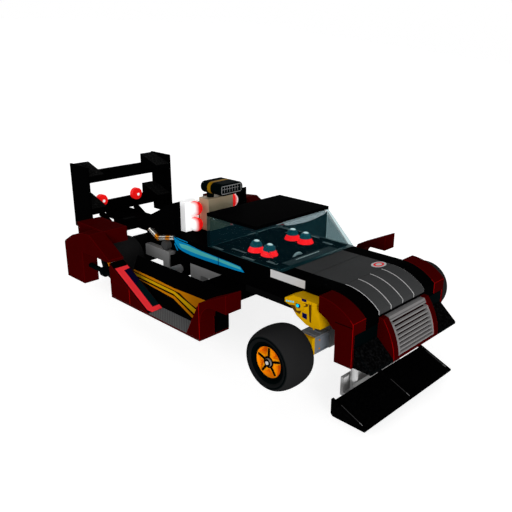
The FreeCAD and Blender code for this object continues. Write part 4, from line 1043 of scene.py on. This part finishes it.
def trim_axles(side, label):
    """The small pale stop in the end of each axle."""
    stops = bmesh.new()
    for end in ("front", "rear"):
        low, high = level_box("axle_" + end, side)
        middle = (low + high) / 2
        tip = high.y if side == FAR else low.y
        pin(stops, (middle.x, tip, middle.z), (0, side, 0), STOP_RADIUS, STOP_LENGTH, 16)
    loose_piece("axle_stops_" + label, stops, "pale_grey")


def trim_hub(side, label):
    """The two orange pins on the front of a hub block, its raised frame, and the ribs on its top."""
    low, high = level_box("hub_blocks", side)
    middle, span = (low + high) / 2, high - low
    pins = bmesh.new()
    for way in (1, -1):
        place = (high.x, middle.y + side * HUB_PIN_ACROSS * span.y, middle.z + way * HUB_PIN_UP * span.z)
        pin(pins, place, AHEAD, HUB_PIN_RADIUS, HUB_PIN_LENGTH, 12)
    loose_piece("hub_pins_" + label, pins, "print_pin")
    half = HUB_RIB_HALF
    back, front = low.x + HUB_RIB_INSET, high.x - HUB_RIB_INSET
    ribs = bmesh.new()
    for share in HUB_RIBS:
        y = middle.y + share * span.y
        box(ribs, (back, y - half, high.z), (front, y + half, high.z + half))
    for way in (-1, 1):
        z = middle.z + way * HUB_FRAME * span.z
        reach = HUB_FRAME * span.y
        box(ribs, (high.x, middle.y - reach, z - half), (high.x + half, middle.y + reach, z + half))
    loose_piece("hub_ribs_" + label, ribs, "blue_grey")


def trim_arm(side, label):
    """The printed marks, the dark strips of painted shade in the gaps, the raised plates and the lens on a
    front arm.
    """
    marks = [side_print(kind, side, ARM_FACE, 0, outline) for kind, outline in ARM_MARKS]
    for count in range(ARM_LIGHTS):
        x, z = [start + count * step for start, step in zip(ARM_LIGHT_FROM, ARM_LIGHT_STEP)]
        corners = [(x + along, z + up) for along, up in ARM_LIGHT]
        marks.append(side_print("print_cyan", side, ARM_FACE, 0, corners))
    prints("arm_marks_" + label, marks)
    outward = Vector((0, side, 0))
    lens_at = (ARM_LENS[0], side * ARM_FACE, ARM_LENS[1])
    ring = bmesh.new()
    pin(ring, lens_at, outward, RING_RADIUS, RING_LENGTH)
    loose_piece("arm_boss_" + label, ring, "print_navy")
    lens = bmesh.new()
    pin(lens, lens_at, outward, LENS_RADIUS, LENS_LENGTH)
    loose_piece("arm_lens_" + label, lens, "print_cyan")
    bosses = bmesh.new()
    for x, z in ARM_BOSSES:
        pin(bosses, (x, side * ARM_FACE, z), outward, BOSS_RADIUS, BOSS_LENGTH, 12)
    for low, high in ARM_PLATES:
        inner, outer = sorted((side * ARM_FACE, side * (ARM_FACE + ARM_PLATE_RISE)))
        box(bosses, (low[0], inner, low[1]), (high[0], outer, high[1]))
    loose_piece("arm_bosses_" + label, bosses, "yellow")


def tyre_profile(settings):
    """One half of the balloon section from the bead to the crown, then its mirror image."""
    wide, top, bead = settings.half_width, settings.radius, settings.rim_radius
    half = [(settings.rim_half, bead)]
    for inset, share, rise in TYRE_SIDE:
        half.append((wide - inset * MM - share * settings.groove, bead + rise * MM))
    start = bead + SHOULDER_RISE
    for step in range(1, SHOULDER_STEPS):
        turn = step / SHOULDER_STEPS * math.pi / 2
        across = (wide - SHOULDER_INSET) * math.cos(turn)
        half.append((across, start + (top - start) * math.sin(turn) ** SHOULDER_POWER))
    half.append((0, top))
    return half + [(-across, out) for across, out in reversed(half[:-1])]


def make_wheels(settings):
    """The four wheels, each of a tyre, a rim and a spider."""
    for wheel in WHEELS:
        centre = JOINT_AT[wheel + "_wheel_spin"]
        side = FAR if wheel.endswith("left") else NEAR
        make_tyre(wheel, centre, settings)
        make_rim(wheel, centre, side, settings)
        make_spider(wheel, centre, side, settings)


def make_tyre(wheel, centre, settings):
    """The balloon tyre: a paler tread, dark sides, and black painted shade by the bead and on the grooved
    ring in each side.
    """
    shape = bmesh.new()
    lathe(shape, centre, tyre_profile(settings), settings.steps)
    for part in shape.faces:
        away = part.calc_center_median() - centre
        out = math.hypot(away.x, away.z)
        rise = out - settings.rim_radius
        # Painted shade: black by the bead and over the grooved ring
        if rise < BEAD_TO or (RING_FROM < rise < RING_TO and abs(away.y) > RING_OUT):
            part.material_index = 2
        elif out < settings.radius - TREAD_DROP:
            part.material_index = 1
    tyre = finish_mesh(
        "tyre_" + wheel + "_finish", shape, [look("rubber"), look("rubber_side"), look("teal_black")])
    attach(tyre, "wheel_" + wheel)
    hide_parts("tyre_" + wheel)


def make_spider(wheel, centre, side, settings):
    """The gold star with a black rib down each arm, round the black hub."""
    out = side * (settings.rim_half - SPIDER_INSET)
    dress("spider_" + wheel, [look("gold"), look("black")], radius=WHEEL_EDGE,
          body="wheel_" + wheel, added=lambda shape: add_ribs(shape, centre, out, settings))


def add_ribs(shape, centre, out, settings):
    """The black hub of a wheel's star and a rib down each of its arms."""
    hub_at = Matrix.Translation(centre + Vector((0, out, 0))) @ Matrix.Rotation(math.pi / 2, 4, "X")
    made = [bmesh.ops.create_cone(
        shape, cap_ends=True, segments=48, radius1=settings.hub_radius, radius2=settings.hub_radius,
        depth=SPIDER_HUB, matrix=hub_at)]
    near, far = settings.hub_radius - RIB_OVERLAP, settings.rib_reach
    size = Matrix.Diagonal((far - near, SPIDER_RIB, settings.rib_width, 1))
    for arm in range(SPIDER_ARMS):
        turn = Matrix.Rotation(-(radians(90 + arm * 360 / SPIDER_ARMS) + PITCH), 4, "Y")
        place = Matrix.Translation(centre) @ turn @ Matrix.Translation(((near + far) / 2, out, 0))
        made.append(bmesh.ops.create_cube(shape, size=1, matrix=place @ size))
    for vert in [vert for part in made for vert in part["verts"]]:
        for face in vert.link_faces:
            face.material_index = 1


def make_rim(wheel, centre, side, settings):
    """The dished rim: the dish's floor and wall are gold, the rest is black, which on the lip is painted
    shade where the tyre curves in.
    """
    face, floor = settings.rim_half, settings.rim_half - settings.dish_depth
    outer = settings.rim_radius - RIM_GAP
    lip, foot = outer - RIM_LIP, outer - RIM_WALL
    profile = [
        (face, outer), (-face, outer), (-face, RIM_BORE), (floor, RIM_BORE), (floor, foot), (face, lip)]
    shape = bmesh.new()
    lathe(shape, centre, [(side * across, out) for across, out in profile], settings.steps)
    for part in shape.faces:
        away = part.calc_center_median() - centre
        out = math.hypot(away.x, away.z)
        if RIM_BORE < out < lip and floor - RIM_GAP < side * away.y < face - RIM_GAP:
            part.material_index = 1
    round_edges(shape, WHEEL_EDGE)
    rim = finish_mesh("rim_" + wheel + "_finish", shape, [look("teal_black"), look("gold")])
    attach(rim, "wheel_" + wheel)
    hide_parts("rim_" + wheel)


def on_cover(side, x, out):
    """A place on the pod's raked cover, from its distance along and out."""
    return at(x, side * out, -COVER_SLOPE * (out - POD_CREST))


def on_ramp(side, x, out):
    """A place on the ramp behind the cover, from its distance along and out."""
    return at(x, side * out, -(x - POD_BACK) * RAMP_SLOPE)


def pod_part(face):
    """Four for the woven ledge, three for the black ramp and zero for the red shell."""
    normal = level_normal(face)
    if normal.z > 0.95 and level_centre(face).z < LEDGE_TOP:
        return 4
    return 3 if normal.z > 0.7 and normal.x > 0.3 else 0


def make_pods():
    """The side pods: red shell, black cover, printed stripes and woven ledge."""
    shell = [look("dark_red"), look("red_edge_highlight"), look("upright_red_highlight"), look("black"), mesh_material()]
    for side, label in SIDES:
        # The shell's rounded edges get painted highlights, brightest on the upright ones
        dress("pod_%s_shell" % label, shell, faces=pod_part, edges=upright_edge)
        dress("pod_%s_cover" % label, [look("black")])
        dress("pod_%s_struts" % label, [look("light_grey")])
        slope = Vector((0, side * COVER_SLOPE, 1))
        layers = [
            (kind, slope, 0, [on_cover(side, *corner) for corner in outline])
            for kind, outline in COVER_PRINTS
        ]
        slope = Vector((RAMP_SLOPE, 0, 1))
        layers += [
            (kind, slope, lift, [on_ramp(side, *corner) for corner in outline])
            for lift, (kind, outline) in enumerate(RAMP_PRINTS)
        ]
        prints("pod_%s_stripes" % label, layers)
    # The horns' rounded edges get a faint painted highlight
    dress("pod_horns", [look("dark_red"), look("red_edge_highlight")], edges=every_edge)


def make_engine():
    """The engine bay, the exhausts, the tower with its lamps, and the scoop."""
    dress("engine_cylinders", [look("black"), look("hood_grey")], faces=engine_pot)
    dress("engine_panels", [look("black")])
    dress("exhaust_pipes", [silver_material()], radius=PIPE_EDGE)
    dress("rear_tower", [look("tan")])
    dress("tower_light", [look("white")])
    dress("tower_lamps", [fading_lamp()])
    dress("engine_scoop", [look("teal_black")])
    dress("scoop_band", [look("dull_gold")], radius=0)
    make_mouth()


def engine_pot(face):
    """One for the round pots at the sides, zero for the black block between them."""
    return int(abs(level_centre(face).y) > POT_FROM)


def make_mouth():
    """The grey outline of the scoop's mouth and the grid inside it."""
    wide, line = MOUTH_HALF, MOUTH_LINE
    lines = [
        (MOUTH_AT, -wide, wide, MOUTH_FOOT - line, MOUTH_FOOT),
        (MOUTH_AT, -wide, wide, MOUTH_HEAD, MOUTH_HEAD + line),
        (MOUTH_AT, -wide - line, -wide, MOUTH_FOOT, MOUTH_HEAD),
        (MOUTH_AT, wide, wide + line, MOUTH_FOOT, MOUTH_HEAD),
    ]
    sheet = MOUTH_AT - GRID_DEPTH
    middle = (MOUTH_FOOT + MOUTH_HEAD) / 2
    lines.append((sheet, -wide, wide, middle - GRID_HALF, middle + GRID_HALF))
    for count in range(GRID_LINES):
        y = (count - GRID_LINES // 2) * GRID_PITCH
        lines.append((sheet, y - GRID_HALF, y + GRID_HALF, MOUTH_FOOT, MOUTH_HEAD))
    layers = []
    for x, inner, outer, low, high in lines:
        corners = ((inner, low), (outer, low), (outer, high), (inner, high))
        layers.append(("light_grey", AHEAD, 0, [at(x, y, z) for y, z in corners]))
    prints("scoop_mouth_lines", layers)


# Stage

def seen_directly(tree):
    """One where a camera, a reflection or a clear piece looks at a surface, else zero."""
    path = tree.nodes.new("ShaderNodeLightPath").outputs
    looked = reckon(tree, "MAXIMUM", path["Is Camera Ray"], path["Is Glossy Ray"])
    return reckon(tree, "MAXIMUM", looked, path["Is Transmission Ray"])


def make_floor(settings):
    """A square of pale paper that shows the camera its own light, so that only contact shades it."""
    shape = bmesh.new()
    bmesh.ops.create_grid(shape, x_segments=1, y_segments=1, size=settings.floor_width / 2)
    material = new_material("stage_paper")
    tree = material.node_tree
    paper = tree.nodes["Principled BSDF"]
    paper.inputs["Base Color"].default_value = PAPER
    paper.inputs["Roughness"].default_value = 0.9
    paper.inputs["Specular IOR Level"].default_value = 0.1
    paper.inputs["Emission Color"].default_value = WHITE
    glow = reckon(tree, "MULTIPLY", seen_directly(tree), settings.floor_glow)
    tree.links.new(glow, paper.inputs["Emission Strength"])
    floor = finish_mesh("stage_floor", shape, [material], flat=True)


def make_lamps(settings):
    """The soft suns. The one behind the car shows in no reflection."""
    for name, towards, strength, mirrored in (
        ("key", KEY_TOWARDS, settings.key_strength, True),
        ("fill", FILL_TOWARDS, settings.fill_strength, True),
        ("back", BACK_TOWARDS, settings.back_strength, False),
    ):
        light = bpy.data.lights.new(name, "SUN")
        light.angle = settings.softness
        light.energy = strength
        lamp = link(bpy.data.objects.new(name, light))
        lamp.rotation_euler = (-Vector(towards)).to_track_quat("-Z", "Y").to_euler()
        lamp.visible_glossy = mirrored


def make_world(settings):
    """White surroundings that light the car only softly."""
    world = bpy.data.worlds.new("surroundings")
    bpy.context.scene.world = world
    world.use_nodes = True
    tree = world.node_tree
    tree.nodes.clear()
    soft = add(tree, "Background", Color=WHITE, Strength=settings.world_light)
    white = add(tree, "Background", Color=WHITE, Strength=1.0)
    mix = tree.nodes.new("ShaderNodeMixShader")
    tree.links.new(seen_directly(tree), mix.inputs[0])
    tree.links.new(soft.outputs[0], mix.inputs[1])
    tree.links.new(white.outputs[0], mix.inputs[2])
    out = tree.nodes.new("ShaderNodeOutputWorld")
    tree.links.new(mix.outputs[0], out.inputs["Surface"])


def make_camera(context):
    """The photo's camera, turned with the car."""
    data = bpy.data.cameras.new("photo_camera")
    data.lens = CAMERA_LENS
    data.clip_start = 0.01
    camera = link(bpy.data.objects.new("photo_camera", data))
    turn = Matrix.Rotation(CAMERA_AZIMUTH, 4, "Z") @ Matrix.Rotation(math.pi / 2 - CAMERA_DROP, 4, "X")
    camera.matrix_world = LEVEL @ Matrix.Translation(CAMERA_STUDS * STUD) @ turn
    context.scene.camera = camera


# Operators

class TOY_OT_stage(bpy.types.Operator):
    """Make the pale floor, the soft lamps, the white surroundings and the camera."""

    bl_idname = "toy.stage"
    bl_label = "Stage"

    def execute(self, context):
        settings = context.scene.toy_stage
        context.scene.view_settings.view_transform = "Standard"
        make_floor(settings)
        make_lamps(settings)
        make_world(settings)
        make_camera(context)
        return {"FINISHED"}


class TOY_OT_hood(bpy.types.Operator):
    """Finish the hood's slopes, deck and black edges."""

    bl_idname = "toy.hood"
    bl_label = "Hood"

    def execute(self, context):
        make_hood()
        return {"FINISHED"}


class TOY_OT_body(bpy.types.Operator):
    """Finish the tub, sills, dash and roof, and print the sides."""

    bl_idname = "toy.body"
    bl_label = "Body"

    def execute(self, context):
        make_body()
        return {"FINISHED"}


class TOY_OT_fenders(bpy.types.Operator):
    """Finish the dark red fenders and the grille's surround."""

    bl_idname = "toy.fenders"
    bl_label = "Fenders"

    def execute(self, context):
        make_fenders()
        return {"FINISHED"}


class TOY_OT_nose(bpy.types.Operator):
    """Finish the brows, the grained chins and the louvred grille."""

    bl_idname = "toy.nose"
    bl_label = "Nose"

    def execute(self, context):
        make_nose()
        return {"FINISHED"}


class TOY_OT_wings(bpy.types.Operator):
    """Finish the front wing, the tail wing and what carries them."""

    bl_idname = "toy.wings"
    bl_label = "Wings"

    def execute(self, context):
        make_wings()
        return {"FINISHED"}


class TOY_OT_canopy(bpy.types.Operator):
    """Finish the smoked canopy."""

    bl_idname = "toy.canopy"
    bl_label = "Canopy"

    def execute(self, context):
        make_canopy()
        return {"FINISHED"}


class TOY_OT_cockpit(bpy.types.Operator):
    """Finish the red rings, the domes and the steering wheel."""

    bl_idname = "toy.cockpit"
    bl_label = "Cockpit"

    def execute(self, context):
        make_cockpit()
        return {"FINISHED"}


class TOY_OT_running_gear(bpy.types.Operator):
    """Finish the arms, hub blocks and axles."""

    bl_idname = "toy.running_gear"
    bl_label = "Running gear"

    def execute(self, context):
        make_running_gear()
        return {"FINISHED"}


class TOY_OT_wheels(bpy.types.Operator):
    """Make the balloon tyres and the dished rims."""

    bl_idname = "toy.wheels"
    bl_label = "Wheels"

    def execute(self, context):
        make_wheels(context.scene.toy_wheel)
        return {"FINISHED"}


class TOY_OT_pods(bpy.types.Operator):
    """Finish the side pods and print their stripes."""

    bl_idname = "toy.pods"
    bl_label = "Side pods"

    def execute(self, context):
        make_pods()
        return {"FINISHED"}


class TOY_OT_engine(bpy.types.Operator):
    """Finish the engine bay, tower, lamps and scoop."""

    bl_idname = "toy.engine"
    bl_label = "Engine and tower"

    def execute(self, context):
        make_engine()
        return {"FINISHED"}


PIECES = (
    TOY_OT_hood, TOY_OT_body, TOY_OT_fenders, TOY_OT_nose,
    TOY_OT_wings, TOY_OT_canopy, TOY_OT_cockpit, TOY_OT_running_gear,
    TOY_OT_wheels, TOY_OT_pods, TOY_OT_engine,
)


class TOY_PT_panel(bpy.types.Panel):
    """The buttons that make each group of pieces."""

    bl_idname = "TOY_PT_panel"
    bl_label = "Racing car"
    bl_space_type = "VIEW_3D"
    bl_region_type = "UI"
    bl_category = "Racing car"

    def draw(self, context):
        for item in (TOY_OT_stage, *PIECES):
            self.layout.operator(item.bl_idname)


SETTINGS = (
    ("toy_stage", StageSettings), ("toy_finish", FinishSettings), ("toy_print", PrintSettings),
    ("toy_wheel", WheelSettings),
)
CLASSES = tuple(group for _, group in SETTINGS) + (TOY_OT_stage, *PIECES, TOY_PT_panel)


def register():
    """Add the classes and the settings to Blender."""
    for item in CLASSES:
        bpy.utils.register_class(item)
    for name, group in SETTINGS:
        setattr(bpy.types.Scene, name, PointerProperty(type=group))


def unregister():
    """Take them away again."""
    for name, _ in SETTINGS:
        delattr(bpy.types.Scene, name)
    for item in reversed(CLASSES):
        bpy.utils.unregister_class(item)


def main():
    """Make the whole car."""
    register()
    bpy.ops.toy.stage()
    bpy.ops.toy.hood()
    bpy.ops.toy.body()
    bpy.ops.toy.fenders()
    bpy.ops.toy.nose()
    bpy.ops.toy.wings()
    bpy.ops.toy.canopy()
    bpy.ops.toy.cockpit()
    bpy.ops.toy.running_gear()
    bpy.ops.toy.wheels()
    bpy.ops.toy.pods()
    bpy.ops.toy.engine()


if __name__ == "__main__":
    main()
